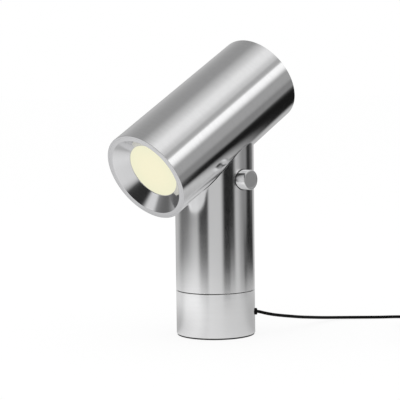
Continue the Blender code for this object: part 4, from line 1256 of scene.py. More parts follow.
@dataclass(frozen=True)
class Studio:
    """Plain pale floor, plain soft light, and the cards and lights that polished metal mirrors.

    Attributes:
        key_bearing: Bearing of the key side, in degrees, as all bearings here.
        dome_levels: How bright the dome is low on the side away from the key side, and elsewhere.
        dome_turn: Where it turns from one to the other, in degrees over from the zenith.
        horizon_level: How bright the horizon is where no card stands.
        dome_foot: Heights, in degrees, at which the dome starts to cover the horizon, and covers it.
        table_level: How bright the table is.
        table_lean: How much brighter it is on its bright side.
        table_glow: What a patch of light adds in that direction.
        glow_edge: How nearly a place lies in that direction where the patch starts, and is full.
        table_bearing: Bearing of the bright side.
        table_near: How far away the table starts to be lost.
        table_far: How far away it is lost.
        table_reach: How much further it reaches on its bright side.
        shade_bearing: Bearing of the shade under the head.
        shade_span: How far away that shade starts to fade, and is gone.
        shade_depth: How much it takes off.
        behind_span: How far away the shade behind the lamp starts to fade, and is gone.
        end_near: How far away the table's dark end starts to be lost.
        end_far: How far away it is lost.
        diffuse_level: The even light from the world.
        shadow_share: How much of the floor's shadow the camera sees.
        floor_half: Half the floor's width.
        paper: The floor's colour.
        key_size: Width of the key light.
        key_power: Its power, in watts.
        key_place: Where it stands.
        key_aim: The point that it looks at.
        flags: Cards round the horizon, each in front of those before it.
        high_flags: Cards that hang above the horizon.
        table_end: The table's dark end.
        end_behind: How far away the dark end is lost behind the lamp, in place of end_far.
        reaches: How far away the table is lost in some directions, in place of table_far.
        shade_behind: The shade on the table behind the lamp, and how much it takes off.
        strips: Lights and gaps overhead, each in front of those before it.
    """

    key_bearing: float = 118.0
    dome_levels: tuple[float, float] = (0.57, 0.32)
    dome_turn: tuple[float, float] = (-72.0, -18.0)
    horizon_level: float = 0.5
    dome_foot: tuple[float, float] = (12.0, 24.0)
    table_level: float = 0.70
    table_lean: float = 0.10
    table_glow: float = 0.20
    glow_edge: tuple[float, float] = (0.7, 1.0)
    table_bearing: float = -20.0
    table_near: float = 0.30
    table_far: float = 0.50
    table_reach: float = 0.4
    shade_bearing: float = -60.0
    shade_span: tuple[float, float] = (0.09, 0.28)
    shade_depth: float = 0.28
    behind_span: tuple[float, float] = (0.2, 0.38)
    end_near: float = 0.75
    end_far: float = 1.2
    diffuse_level: float = 1.0
    shadow_share: float = 0.16
    floor_half: float = 40.0
    paper: Triple = (0.98, 0.98, 0.98)
    key_size: float = 1.6
    key_power: float = 5.0
    key_place: Triple = (-0.5, -1.1, 1.9)
    key_aim: Triple = (0.0, 0.0, 0.1)
    flags: tuple[Flag, ...] = (
        Flag("left card", -42.0, 37.0, 34.0, 0.15),
        Flag("front fill", -8.0, 22.0, 34.0, 0.37),
        Flag("front card", 11.0, 14.5, 12.0, 0.03),
        Flag("front wall", 44.0, 17.0, 6.0, 0.56),
        Flag("key side card", 85.2, 18.2, 12.0, 0.008),
        Flag("key side wall", 137.0, 16.0, 26.0, 0.24),
        Flag("back dusk", 175.0, 13.0, 14.0, 0.13),
        Flag("back card", 160.0, 10.0, 12.0, 0.03),
    )
    high_flags: tuple[HighFlag, ...] = (
        HighFlag("card over the front", 22.0, 40.0, 16.0, 0.0, 15.0, 50.0),
        HighFlag("low fill in front", -18.0, 11.0, 12.0, 0.8, 3.0, 15.0),
        HighFlag("glow over the key side wall", 125.0, 18.0, 16.0, 0.37, -3.0, 13.0, 8.0),
    )
    table_end: Flag = Flag("dark end of the table", 159.0, 24.0, 8.0, 0.01)
    end_behind: Flag = Flag("far end of the dark behind the lamp", 166.0, 20.0, 6.0, 2.4)
    reaches: tuple[Flag, ...] = (
        Flag("reach of the table in front", 14.0, 12.0, 12.0, 0.68),
        Flag("reach of the table beside the lamp", 102.0, 14.0, 10.0, 0.8),
        Flag("reach of the table behind the lamp", 166.0, 20.0, 12.0, 0.62),
    )
    shade_behind: Flag = Flag("shade on the table behind the lamp", 172.0, 38.0, 40.0, 0.13)
    strips: tuple[Strip, ...] = (
        Strip("key side", 84.0, 178.0, 14.0, 1.0, 0.33),
        Strip("key side glow", 50.0, 64.0, 8.0, 26.0, 0.54),
        Strip("overhead glow", 8.0, 54.0, 20.0, 8.0, 0.6),
        Strip("overhead bank", 21.0, 27.0, 18.0, 16.0, 0.86),
        Strip("gap beside the bank", 47.0, 51.0, 5.0, 4.0, 0.42),
        Strip("key strip", 56.5, 60.0, 3.5, 16.0, 1.09),
    )

    def build(self) -> None:
        """Makes the world, the floor and the soft key light."""
        surround = self._surround()
        self._world(surround)
        self._floor(surround)
        self._key()
        bpy.context.scene.view_settings.view_transform = "Standard"

    def _surround(self) -> bpy.types.NodeTree:
        """The room that metal mirrors, as a group from a direction, or a place on the floor, to a brightness.

        Returns:
            The group. Table is the pale table near the lamp, Table End its dark end and the room past it, Lost how
            much of a place on the floor is Table End, and Dome the whole room above the floor.
        """
        graph, given, out = new_group(
            "studio_surround", {"Direction": (0.0, 0.0, 1.0)}, ("Table", "Table End", "Lost", "Dome")
        )
        unit = graph.vector("NORMALIZE", given["Direction"]).outputs["Vector"]
        x, y, z = graph.split(unit)
        bearing = graph.math("DEGREES", graph.math("ARCTAN2", x, graph.math("MULTIPLY", y, -1.0)))
        horizon: Socket | float = self.horizon_level
        for flag in self.flags:
            horizon = flag.add(graph, bearing, horizon)
        towards_glow, towards_shade, towards_key = (
            graph.vector("DOT_PRODUCT", unit, (math.sin(angle), -math.cos(angle), 0.0)).outputs["Value"]
            for angle in map(math.radians, (self.table_bearing, self.shade_bearing, self.key_bearing))
        )
        over = graph.math("DEGREES", graph.math("ARCTAN2", towards_key, z))
        dome = graph.rise(over, *self.dome_turn, *self.dome_levels)
        for strip in self.strips:
            dome = strip.add(graph, over, dome)
        height = graph.math("DEGREES", graph.math("ARCSINE", z))
        whole = graph.blend(graph.rise(height, *self.dome_foot), horizon, dome)
        for flag in self.high_flags:
            whole = flag.add_high(graph, bearing, height, whole)
        graph.feed(out["Dome"], whole)
        away = graph.vector("LENGTH", given["Direction"]).outputs["Value"]
        table = graph.math("MULTIPLY_ADD", towards_glow, self.table_lean, self.table_level)
        glow = graph.rise(towards_glow, *self.glow_edge, 0.0, self.table_glow)
        under_head = graph.rise(away, *self.shade_span, self.shade_depth, 0.0)
        shade = graph.math("MULTIPLY", under_head, graph.math("MAXIMUM", towards_shade, 0.0))
        behind_lamp = graph.rise(away, *self.behind_span, 1.0, 0.0)
        shade = graph.math("MULTIPLY_ADD", behind_lamp, self.shade_behind.add(graph, bearing, 0.0), shade)
        graph.feed(out["Table"], graph.math("SUBTRACT", graph.math("ADD", table, glow), shade))
        reach = graph.math("MULTIPLY_ADD", graph.math("MAXIMUM", towards_glow, 0.0), self.table_reach, self.table_far)
        for flag in self.reaches:
            reach = flag.add(graph, bearing, reach)
        graph.feed(out["Lost"], graph.rise(away, self.table_near, reach))
        beyond = graph.rise(away, self.end_near, self.end_behind.add(graph, bearing, self.end_far))
        graph.feed(out["Table End"], graph.blend(beyond, self.table_end.add(graph, bearing, horizon), horizon))
        return graph.tree

    def _world(self, surround: bpy.types.NodeTree) -> None:
        """White to the camera and through glass, the room to metal, and even light to all else.

        Args:
            surround: The group that _surround made.
        """
        world = bpy.data.worlds.new("studio")
        world.use_nodes = True
        bpy.context.scene.world = world
        graph = Graph(world.node_tree)
        path = graph.node("LightPath").outputs
        room = graph.node("Group", node_tree=surround)
        graph.feed(room.inputs["Direction"], graph.node("TexCoord").outputs["Generated"])
        mirrored = graph.blend(path["Is Glossy Ray"], self.diffuse_level, room.outputs["Dome"])
        seen = graph.math("MAXIMUM", path["Is Camera Ray"], path["Is Transmission Ray"])
        graph.feed_all(
            world.node_tree.nodes["Background"],
            {"Color": (1.0, 1.0, 1.0, 1.0), "Strength": graph.blend(seen, mirrored, 1.0)},
        )

    def _floor(self, surround: bpy.types.NodeTree) -> None:
        """A white floor that keeps the lamp's shadow. Metal sees it pale near the lamp and lost in the room far off.

        Args:
            surround: The group that _surround made.
        """
        form = bmesh.new()
        bmesh.ops.create_grid(form, x_segments=1, y_segments=1, size=self.floor_half)
        floor = new_object("studio_floor", form)
        material = bpy.data.materials.new("studio_floor")
        material.use_nodes = True
        graph = Graph(material.node_tree)
        path = graph.node("LightPath").outputs
        room = graph.node("Group", node_tree=surround)
        graph.feed(room.inputs["Direction"], graph.node("TexCoord").outputs["Object"])
        paper, white, mirrored = (graph.node(kind) for kind in ("BsdfDiffuse", "Emission", "Emission"))
        graph.feed(paper.inputs["Color"], (*self.paper, 1.0))
        table = graph.blend(*(room.outputs[name] for name in ("Lost", "Table", "Table End")))
        graph.feed(mirrored.inputs["Strength"], table)
        lit = graph.math("MULTIPLY", path["Is Camera Ray"], 1 - self.shadow_share)
        pale = graph.mix_shaders(lit, paper.outputs[0], white.outputs[0])
        whole = graph.mix_shaders(path["Is Glossy Ray"], pale, mirrored.outputs[0])
        graph.feed(material.node_tree.nodes["Material Output"].inputs["Surface"], whole)
        floor.data.materials.append(material)

    def _key(self) -> None:
        """A large soft light from above the camera's left, which metal doesn't mirror."""
        data = bpy.data.lights.new("soft_key", "AREA")
        data.shape = "SQUARE"
        data.size = self.key_size
        data.energy = self.key_power
        key = into_scene("soft_key", data)
        key.matrix_world = looking(Vector(self.key_place), Vector(self.key_aim))
        key.visible_glossy = False


# ---- Finishes of this lamp ----

HEAD_METAL = RimmedMetal(
    "turned_head_aluminium", SIZES.head_spindle, roughness=0.11, stretch=0.7, tone=0.07, wander=5.0,
    rim_start=SIZES.head_radius - SIZES.rim_width, front=SIZES.head_front,
)
CAP_METAL = TurnedMetal(
    "turned_cap_aluminium", SIZES.head_spindle, (0.72, 0.72, 0.73), roughness=0.3, stretch=0.4, line_pitch=0.0005,
    line_depth=2e-6, tone=0.16, wander=0.4,
)
STEM_METAL = TurnedMetal("turned_stem_aluminium", roughness=0.155, stretch=0.7)
BASE_METAL = TurnedMetal("turned_base_aluminium", roughness=0.13, stretch=0.65)
# The funnel's colour is a shade darker than the other turned pieces. This is painted shade, standing in for the
# shaded table under the head that the funnel mirrors.
SHADE_PAINTED_FUNNEL_METAL = RimmedMetal(
    "turned_funnel_aluminium", SIZES.head_spindle, roughness=0.1, stretch=0.6, colour=(0.8, 0.8, 0.81),
    rim_start=SIZES.head_radius - SIZES.rim_width, front=SIZES.head_front,
)
SINK_METAL = PlainMetal("extruded_aluminium", (0.74, 0.74, 0.75), (0.6, 0.6, 0.61), 0.38)
STEEL = PlainMetal("zinc_plated_steel", (0.62, 0.62, 0.63), (0.45, 0.45, 0.44), 0.34)
IRON = PlainMetal("cast_iron", (0.05, 0.05, 0.055), (0.09, 0.085, 0.08), 0.55, 0.0016, 9e-5, 0.6)
BRASS = PlainMetal("plain_brass", (0.78, 0.58, 0.27), (0.55, 0.39, 0.18), 0.28)
BLACK_PLASTIC = Moulding("black_moulding", (0.016, 0.016, 0.017), (0.03, 0.03, 0.03), 0.42)
WHITE_PLASTIC = Moulding("white_moulding", (0.82, 0.82, 0.79), (0.72, 0.71, 0.67), 0.45)
RUBBER = Moulding("black_rubber", (0.012, 0.012, 0.012), (0.028, 0.028, 0.027), 0.62, 0.0004, 1.5e-5)
JACKET = Moulding("cord_jacket", (0.004, 0.004, 0.004), (0.01, 0.01, 0.01), 0.42, 0.0009, 8e-6, 0.08)
PHOSPHOR = Moulding("led_phosphor", (0.92, 0.72, 0.16), (0.85, 0.6, 0.1), 0.5, 0.0004, 1e-5)


# ---- Cord, coil, tie and plug ----


@dataclass
class MainsCord:
    """The cord from the base to its plug, with its spare length wound up out of view."""

    shop: Workshop
    length: float = 1.8
    radius: float = 0.0016
    round_steps: int = 5
    path_steps: int = 5
    exit_bearing: float = math.radians(132)
    exit_height: float = 0.0225
    exit_droop: float = 0.0006
    grommet_face: float = 0.0422
    grommet_radius: float = 0.0034
    grommet_edge: float = 0.0009
    grommet_steps: int = 5
    grommet_bore_edge: float = 0.0003
    grommet_body: float = 0.0025
    grommet_depth: float = 0.0102
    route: tuple[Triple, ...] = (
        (0.0361, 0.0348, 0.0204),
        (0.0418, 0.0401, 0.0189),
        (0.0443, 0.0491, 0.0171),
        (0.0448, 0.0629, 0.0146),
        (0.0431, 0.0820, 0.0112),
        (0.0398, 0.1026, 0.0079),
        (0.0384, 0.1240, 0.0048),
        (0.0411, 0.1443, 0.0026),
        (0.0527, 0.1610, 0.0019),
        (0.0705, 0.1786, 0.0018),
        (0.0882, 0.1963, 0.0019),
        (0.1020, 0.2021, 0.0021),
        (0.1200, 0.2030, 0.0025),
    )
    coil_entry: tuple[float, float] = (0.140, 0.2028)
    enter_heading: float = math.radians(0)
    leave_heading: float = math.radians(-60)
    coil_radius: float = 0.0187
    coil_pitch: float = 0.0037
    coil_layers: int = 4
    full_turns: int = 13
    turn_points: int = 24
    tie_thick: float = 0.0008
    tie_width: float = 0.006
    tie_room: float = 0.0008
    tie_softness: float = 0.8
    tail_length: float = 0.026
    tail_rise: float = 0.0042
    boot_length: float = 0.020
    boot_radius: float = 0.0038
    boot_ribs: int = 6
    boot_edge: float = 0.0002
    plug_length: float = 0.058
    plug_width: float = 0.026
    plug_corner: float = 0.004
    plug_steps: int = 5
    grip_count: int = 5
    grip_start: float = 0.2
    grip_pitch: float = 0.0035
    grip_radius: float = 0.0008
    grip_width: float = 0.65
    prong_radius: float = 0.002
    prong_length: float = 0.019
    prong_spacing: float = 0.019
    prong_shift: float = 0.012
    prong_tip: float = 0.6
    ends: dict[str, Vector] = field(default_factory=dict)

    @property
    def out(self) -> Vector:
        """The way the cord leaves the base."""
        return Vector((math.sin(self.exit_bearing), -math.cos(self.exit_bearing), 0))

    @property
    def exit_place(self) -> Matrix:
        """Takes a piece made along the upright axis to the cord's way out of the base."""
        return Matrix.Translation((0, 0, self.exit_height)) @ upright_to(self.out)

    @property
    def inward(self) -> Vector:
        """The way the cord runs into the coil."""
        return Vector((math.cos(self.enter_heading), math.sin(self.enter_heading), 0))

    @property
    def ahead(self) -> Vector:
        """The way the cord runs out of the coil to its plug."""
        return Vector((math.cos(self.leave_heading), math.sin(self.leave_heading), 0))

    @property
    def turns(self) -> float:
        """Turns in the coil, with the part of a turn between its two ends."""
        return self.full_turns + (self.enter_heading - self.leave_heading) / (2 * math.pi)

    @property
    def layer_turns(self) -> float:
        """Turns in one layer of the coil."""
        return self.turns / self.coil_layers

    @property
    def coil_outer(self) -> float:
        """Radius of the coil's outermost turn, at the middle of the cord."""
        return self.coil_radius + self.coil_pitch * self.layer_turns / 2

    @property
    def coil_inner(self) -> float:
        """Radius of the coil's innermost turn, at the middle of the cord."""
        return self.coil_radius - self.coil_pitch * self.layer_turns / 2

    @property
    def coil_floor(self) -> float:
        """Height of the cord's middle in the lowest layer."""
        return self.tie_thick + GAP + self.radius

    @property
    def coil_top(self) -> float:
        """Height of the cord's middle in the highest layer."""
        return self.coil_floor + (self.coil_layers - 1) * self.coil_pitch

    @property
    def coil_centre(self) -> Vector:
        """The coil's middle on the floor."""
        side = Vector((self.inward.y, -self.inward.x, 0))
        return Vector((*self.coil_entry, 0)) + self.coil_outer * side

    @property
    def plug_place(self) -> Matrix:
        """Takes a piece made along the upright axis to the cord's end, pointing ahead."""
        turn = Matrix.Rotation(self.leave_heading, 4, "Z") @ Matrix.Rotation(math.pi / 2, 4, "Y")
        return Matrix.Translation(self.ends["tail"] + self.ahead * GAP) @ turn

    @property
    def plug_frame(self) -> Matrix:
        """The plug's frame on the floor: x ahead, y to its left, z up."""
        start = self.ends["tail"] + self.ahead * GAP
        return Matrix.Translation((start.x, start.y, 0)) @ Matrix.Rotation(self.leave_heading, 4, "Z")

    def coil_points(self) -> list[Vector]:
        """The coil's centre line: a spiral in and out again in layers, climbing where it turns back.

        Returns:
            Its points.
        """
        count = round(self.turns * self.turn_points)
        points = []
        for index in range(count + 1):
            turn = self.turns * index / count
            inward = 1 - abs((turn / self.layer_turns) % 2 - 1)
            radius = self.coil_outer - self.coil_pitch * self.layer_turns * inward
            climbed = 0.0
            for level in range(1, self.coil_layers):
                share = min(max((turn - level * self.layer_turns) * 2 + 0.5, 0.0), 1.0)
                climbed += share * share * (3 - 2 * share)
            angle = self.enter_heading + math.pi / 2 - 2 * math.pi * turn
            spot = self.coil_centre + radius * Vector((math.cos(angle), math.sin(angle), 0))
            points.append(spot + Vector((0, 0, self.coil_floor + self.coil_pitch * climbed)))
        return points

    def whole_path(self) -> list[Vector]:
        """The cord's centre line from inside the grommet to the plug.

        Returns:
            Its points.
        """
        step = 2 * self.radius
        face = self.grommet_face - GAP
        leave = self.out * face + Vector((0, 0, self.exit_height))
        bent = self.out * (face + step) + Vector((0, 0, self.exit_height - self.exit_droop))
        entry = Vector((*self.coil_entry, self.coil_floor))
        coil = self.coil_points()
        end = coil[-1] + self.ahead * step
        tail = end + self.ahead * (GAP + self.tail_length) + Vector((0, 0, self.tail_rise))
        self.ends.update(exit=leave, tail=tail)
        in_plug = tail + self.ahead * (self.boot_length + self.plug_corner)
        lead = [leave, bent, *map(Vector, self.route), entry - self.inward * step]
        return [*lead, *coil, end, end + self.ahead * step, tail - self.ahead * step, tail, in_plug]

    def build(self) -> None:
        """Makes the cord and everything on it."""
        path = self.whole_path()
        curve = bpy.data.curves.new("mains_cord", "CURVE")
        curve.dimensions = "3D"
        curve.bevel_depth = self.radius
        curve.bevel_resolution = self.round_steps
        curve.use_fill_caps = True
        curve.resolution_u = self.path_steps
        spline = curve.splines.new("BEZIER")
        spline.bezier_points.add(len(path) - 1)
        for point, spot in zip(spline.bezier_points, path):
            point.co = spot
            point.handle_left_type = point.handle_right_type = "AUTO"
        cord = into_scene("mains_cord", curve)
        self.shop.hand_over(cord, JACKET, Body.BASE, "cord", ("cord_lead", "cord_coil", "cord_tail"))
        on_cord = [self._tie(), self._boot(), self._plug(), *self._prongs()]
        for piece in (cord, *on_cord):
            piece.visible_glossy = False
        self._grommet()

    def _tie(self) -> bpy.types.Object:
        """A rubber strap round the coil's turns, with a small stud that closes it.

        Returns:
            The strap.
        """
        inner = self.coil_inner - self.radius - self.tie_room
        outer = self.coil_outer + self.radius + self.tie_room
        roof = self.coil_top + self.radius + GAP
        half = self.tie_width / 2
        form = box((inner - self.tie_thick, -half, 0.0), (outer + self.tie_thick, half, roof + self.tie_thick))
        strap = new_object("coil_strap", form)
        room = box((inner, -half - OVERRUN, self.tie_thick), (outer, half + OVERRUN, roof))
        round_edges(room, room.edges[:], self.radius * self.tie_softness, 4)
        carve(strap, (room, None))
        form = bmesh.new()
        form.from_mesh(strap.data)
        outside = [
            edge for edge in form.edges
            if abs(edge.verts[0].co.y - edge.verts[1].co.y) > half
            and all(end.co.x < inner or end.co.x > outer for end in edge.verts)
        ]
        round_edges(form, outside, self.radius, 4)
        turn = Matrix.Translation(self.coil_centre) @ Matrix.Rotation(self.enter_heading - math.pi / 2, 4, "Z")
        bmesh.ops.transform(form, matrix=turn, verts=form.verts)
        form.to_mesh(strap.data)
        form.free()
        return self.shop.hand_over(strap, RUBBER, Body.BASE, "rubber", ("cord_tie",))

    def _boot(self) -> bpy.types.Object:
        """The tapered, ribbed strain relief that the cord runs through to the plug.

        Returns:
            The boot.
        """
        bore = self.radius + GAP / 3
        thin = self.radius + 2 * GAP
        steps = 2 * self.boot_ribs + 1
        corners = [Corner(bore, 0.0)]
        for index in range(steps + 1):
            radius = thin + (self.boot_radius - thin) * index / steps
            if index % 4 in (2, 3):
                radius -= 2 * GAP
            corners.append(Corner(radius, self.boot_length / steps * index, self.boot_edge, 2))
        corners.append(Corner(bore, self.boot_length))
        boot = new_object("plug_boot", turn_piece(corners, columns=SMALL_COLUMNS // 2), self.plug_place)
        return self.shop.hand_over(boot, RUBBER, Body.BASE, "rubber", ("plug_relief",))

    def _plug(self) -> bpy.types.Object:
        """The plug's body, in two halves with a parting line and grips on its sides.

        Returns:
            The body.
        """
        height = 2 * (self.coil_top + self.tail_rise)
        half = self.plug_width / 2
        front = self.boot_length + GAP
        form = box((front, -half, 0.0), (front + self.plug_length, half, height))
        round_edges(form, form.edges[:], self.plug_corner, self.plug_steps)
        plug = new_object("plug_shell", form)
        line = GAP / 2
        reach = self.plug_length + OVERRUN
        ring = box((front - OVERRUN, -line, -OVERRUN), (front + reach, line, height + OVERRUN))
        skin = 2 * GAP
        core = box((front + skin, -half, skin), (front + self.plug_length - skin, half, height - skin))
        round_edges(core, core.edges[:], self.plug_corner, self.plug_steps)
        parting = new_object("parting_cutter", ring)
        carve(parting, (core, None))
        form = bmesh.new()
        form.from_mesh(parting.data)
        bpy.data.objects.remove(parting)
        carve(plug, (form, None))
        grips = []
        for index in range(self.grip_count):
            along = front + self.plug_length * self.grip_start + index * self.grip_pitch
            for side in (0.0, height):
                grip = cylinder(self.grip_radius, -half * self.grip_width, half * self.grip_width, GRIP_COLUMNS)
                grips.append((grip, Matrix.Translation((along, 0.0, side)) @ Matrix.Rotation(math.pi / 2, 4, "X")))
        carve(plug, *grips)
        plug.data.transform(self.plug_frame)
        return self.shop.hand_over(plug, BLACK_PLASTIC, Body.BASE, "black_plastic", ("plug_body",))

    def _prongs(self) -> list[bpy.types.Object]:
        """The plug's two round pins.

        Returns:
            The pins.
        """
        made = []
        middle = self.coil_top + self.tail_rise
        along = self.boot_length + GAP + self.plug_length - self.prong_shift
        for shift, label in ((-1, "lower"), (1, "upper")):
            corners = [
                Corner(0.0, 0.0),
                Corner(self.prong_radius, 0.0),
                Corner(self.prong_radius, self.prong_length, self.prong_radius * self.prong_tip, 4),
                Corner(0.0, self.prong_length),
            ]
            place = Matrix.Translation((along, -self.plug_width / 2 - GAP, middle + shift * self.prong_spacing / 2))
            form = turn_piece(corners, False, SMALL_COLUMNS // 2)
            turned = self.plug_frame @ place @ Matrix.Rotation(math.pi / 2, 4, "X")
            prong = new_object(f"plug_prong_{label}", form, turned)
            made.append(self.shop.hand_over(prong, BRASS, Body.BASE, "brass", (f"plug_pin_{label}",)))
        return made

    def _grommet(self) -> None:
        """The small round grommet that the cord leaves the base through."""
        seat = SIZES.stem_radius - GAP
        bore = self.radius + GAP / 2
        back = self.grommet_face - self.grommet_depth
        corners = [
            Corner(bore, self.grommet_face, self.grommet_bore_edge),
            Corner(self.grommet_radius, self.grommet_face, self.grommet_edge, self.grommet_steps),
            Corner(self.grommet_radius, seat),
            Corner(self.grommet_body, seat),
            Corner(self.grommet_body, back),
            Corner(bore, back),
        ]
        grommet = new_object("cord_grommet", turn_piece(corners, columns=SMALL_COLUMNS), self.exit_place)
        self.shop.hand_over(grommet, JACKET, Body.BASE, "rubber", ("cord_gland",))


# ---- Base ----


@dataclass
class Base:
    """The weighted base: a turned ring of the stem's own diameter on a thin dark foot."""

    shop: Workshop
    cord: MainsCord
    wall: float = 0.003
    top_thick: float = 0.004
    edge: float = 0.00035
    foot_edge: float = 0.0003
    spindle_hole: float = 0.0063
    boss_radius: float = 0.004
    boss_inset: float = 0.0065
    boss_count: int = 3
    boss_start: float = math.radians(72)

    def build(self) -> None:
        """Makes the ring and the foot, and dresses what they hold."""
        self._ring()
        self._foot()
        self.shop.dress((
            (STEEL, "bottom_plate swivel_spindle swivel_nut swivel_stop_pin base_screw_1 base_screw_2 base_screw_3"),
            (IRON, "ballast_weight"),
            (WHITE_PLASTIC, "thrust_washer"),
            (BLACK_PLASTIC, "gland_nut"),
            (JACKET, "base_lead"),
        ))

    def _ring(self) -> None:
        """The housing: a turned cup, open below, with screw bosses inside and the cord's hole."""
        low, high = (corner.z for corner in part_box("base_housing"))
        outer = SIZES.stem_radius
        inner = outer - self.wall
        corners = [
            Corner(outer, high, self.edge),
            Corner(outer, low, self.edge),
            Corner(inner, low),
            Corner(inner, high - self.top_thick),
            Corner(self.spindle_hole, high - self.top_thick),
            Corner(self.spindle_hole, high),
        ]
        ring = new_object("base_ring", turn_piece(corners))
        bosses = []
        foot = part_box("bottom_plate")[1].z + GAP
        out = inner - self.boss_inset
        for index in range(self.boss_count):
            bearing = self.boss_start + 2 * math.pi * index / self.boss_count
            boss = cylinder(self.boss_radius, foot, high - self.top_thick / 2, SMALL_COLUMNS // 2)
            bosses.append((boss, Matrix.Translation((out * math.sin(bearing), -out * math.cos(bearing), 0))))
        carve(ring, *bosses, join=True)
        hole = cylinder(self.cord.grommet_body + GAP, inner - OVERRUN, outer + OVERRUN)
        carve(ring, (hole, self.cord.exit_place))
        self.shop.hand_over(ring, BASE_METAL, Body.BASE, "aluminium", ("base_housing",))

    def _foot(self) -> None:
        """The thin rubber foot that shows as a dark line under the ring."""
        low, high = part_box("foot_pad")
        corners = [
            Corner(0.0, low.z),
            Corner(high.x, low.z, self.foot_edge),
            Corner(high.x, high.z, self.foot_edge / 2),
            Corner(0.0, high.z),
        ]
        foot = new_object("foot_disc", turn_piece(corners, closed=False))
        self.shop.hand_over(foot, RUBBER, Body.BASE, "rubber", ("foot_pad",))


# ---- Stem and knob ----


@dataclass
class Stem:
    """The upright sleeve with the saddle cut in its top, its dark lining and what it holds."""

    shop: Workshop
    edge: float = 0.00035
    lining_gap: float = 0.0012
    lining_thick: float = 0.0016
    knob_hole: float = 0.0106
    neck_half: float = 0.0128
    lining_rings: tuple[float, ...] = (0.93, 0.85, 0.75, 0.62, 0.48, 0.33, 0.18)

    def build(self) -> None:
        """Makes the sleeve and the lining, and dresses what they hold."""
        self._sleeve()
        self._lining()
        self.shop.dress((
            (SINK_METAL, "stem_plate stem_bulkhead"),
            (STEEL, "spring_washer neck_bracket pivot_pin pivot_nut board_clip dimmer_body"),
            (STEEL, "neck_screw_left neck_screw_right"),
            (WHITE_PLASTIC, "friction_washer_left friction_washer_right"),
            (CircuitLaminate(), "driver_board"),
            (Winding(), "driver_coil"),
            (BLACK_PLASTIC, "driver_capacitor dimmer_seat"),
            (JACKET, "stem_lead head_lead dimmer_lead"),
            (BRASS, "dimmer_nut"),
        ))

    def _sleeve(self) -> None:
        """The stem's tube, with its top cut to the path that the head sweeps."""
        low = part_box("stem_tube")[0].z
        high = SIZES.head_crossing
        outer, inner = SIZES.stem_radius, SIZES.stem_radius - SIZES.stem_wall
        corners = [Corner(outer, high), Corner(outer, low, self.edge), Corner(inner, low), Corner(inner, high)]
        form = turn_piece(corners)
        for vert in form.verts:
            if abs(vert.co.z - high) < SAME_PLACE:
                vert.co.z = SIZES.saddle_height(vert.co, SIZES.saddle_gap)
        top = {vert for vert in form.verts if vert.co.z > low + OVERRUN}
        rim = []
        for edge in form.edges:
            near, far = (math.hypot(*end.co.xy) for end in edge.verts)
            if set(edge.verts) <= top and abs(near - far) < SAME_PLACE:
                rim.append(edge)
        round_edges(form, rim, self.edge / 2, 2)
        sleeve = new_object("stem_sleeve", form)
        knob_low, knob_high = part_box("dimmer_knob")
        hole = cylinder(self.knob_hole, inner - OVERRUN, outer + OVERRUN)
        place = Matrix.Translation((0, 0, (knob_low.z + knob_high.z) / 2)) @ Matrix.Rotation(math.pi / 2, 4, "Y")
        carve(sleeve, (hole, place))
        self.shop.hand_over(sleeve, STEM_METAL, Body.STEM, "aluminium", ("stem_tube",))

    def _lining(self) -> None:
        """The dark moulded lining that closes the stem's mouth under the head."""
        low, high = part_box("saddle_liner")
        top_radius, foot = high.x, low.z
        form = bmesh.new()
        bmesh.ops.create_circle(form, cap_ends=False, segments=FINE_COLUMNS // 2, radius=top_radius)
        ring = form.edges[:]
        for share in self.lining_rings:
            grown = bmesh.ops.extrude_edge_only(form, edges=ring)["geom"]
            ring = [item for item in grown if isinstance(item, bmesh.types.BMEdge)]
            for item in grown:
                if isinstance(item, bmesh.types.BMVert):
                    item.co.xy = item.co.xy.normalized() * top_radius * share
        middle = bmesh.ops.contextual_create(form, geom=ring)["faces"]
        bmesh.ops.poke(form, faces=middle)
        for vert in form.verts:
            vert.co.z = SIZES.saddle_height(vert.co, self.lining_gap)
        bmesh.ops.recalc_face_normals(form, faces=form.faces)
        if sum(face.normal.z for face in form.faces) < 0:
            bmesh.ops.reverse_faces(form, faces=form.faces)
        skin = form.faces[:]
        under = bmesh.ops.extrude_face_region(form, geom=skin)
        for item in under["geom"]:
            if isinstance(item, bmesh.types.BMVert):
                item.co.z = max(SIZES.saddle_height(item.co, self.lining_gap + self.lining_thick), foot)
        bmesh.ops.recalc_face_normals(form, faces=form.faces)
        lining = new_object("saddle_lining", form)
        low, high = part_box("neck_bracket")
        room = box((-self.neck_half, low.y - GAP, low.z), (self.neck_half, high.y + GAP, high.z + OVERRUN))
        carve(lining, (room, None))
        self.shop.hand_over(lining, BLACK_PLASTIC, Body.STEM, "black_plastic", ("saddle_liner",))


@dataclass
class Knob:
    """The dimmer's turned knob."""

    shop: Workshop
    chamfer: float = 0.0006
    bore: float = 0.0033
    face_thick: float = 0.003
    dish: float = 0.00012
    dish_share: float = 0.8
    dish_edge: float = 0.0003
    lip_share: float = 0.82
    lip_edge: float = 0.0001
    edge: float = 0.0002

    def build(self) -> None:
        """Makes the knob and dresses its shaft."""
        low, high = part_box("dimmer_knob")
        radius = (high.z - low.z) / 2
        spindle = Spindle((0.0, 0.0, (low.z + high.z) / 2), (0.0, math.pi / 2, 0.0))
        corners = [
            Corner(0.0, high.x - self.dish),
            Corner(radius * self.dish_share, high.x - self.dish, self.dish_edge),
            Corner(radius * self.lip_share, high.x, self.lip_edge, 2),
            Corner(radius - self.chamfer, high.x, self.edge),
            Corner(radius, high.x - self.chamfer, self.edge),
            Corner(radius, low.x, self.edge),
            Corner(self.bore, low.x),
            Corner(self.bore, high.x - self.face_thick),
            Corner(0.0, high.x - self.face_thick),
        ]
        finish = TurnedMetal("turned_knob_aluminium", spindle, roughness=0.17, stretch=0.8, line_pitch=0.00015)
        knob = new_object("dimmer_dial", turn_piece(corners, False, SMALL_COLUMNS * 2), spindle.matrix)
        self.shop.hand_over(knob, finish, Body.KNOB, "aluminium", ("dimmer_knob",))
        self.shop.dress(((BRASS, "dimmer_shaft"),))


# ---- Head ----


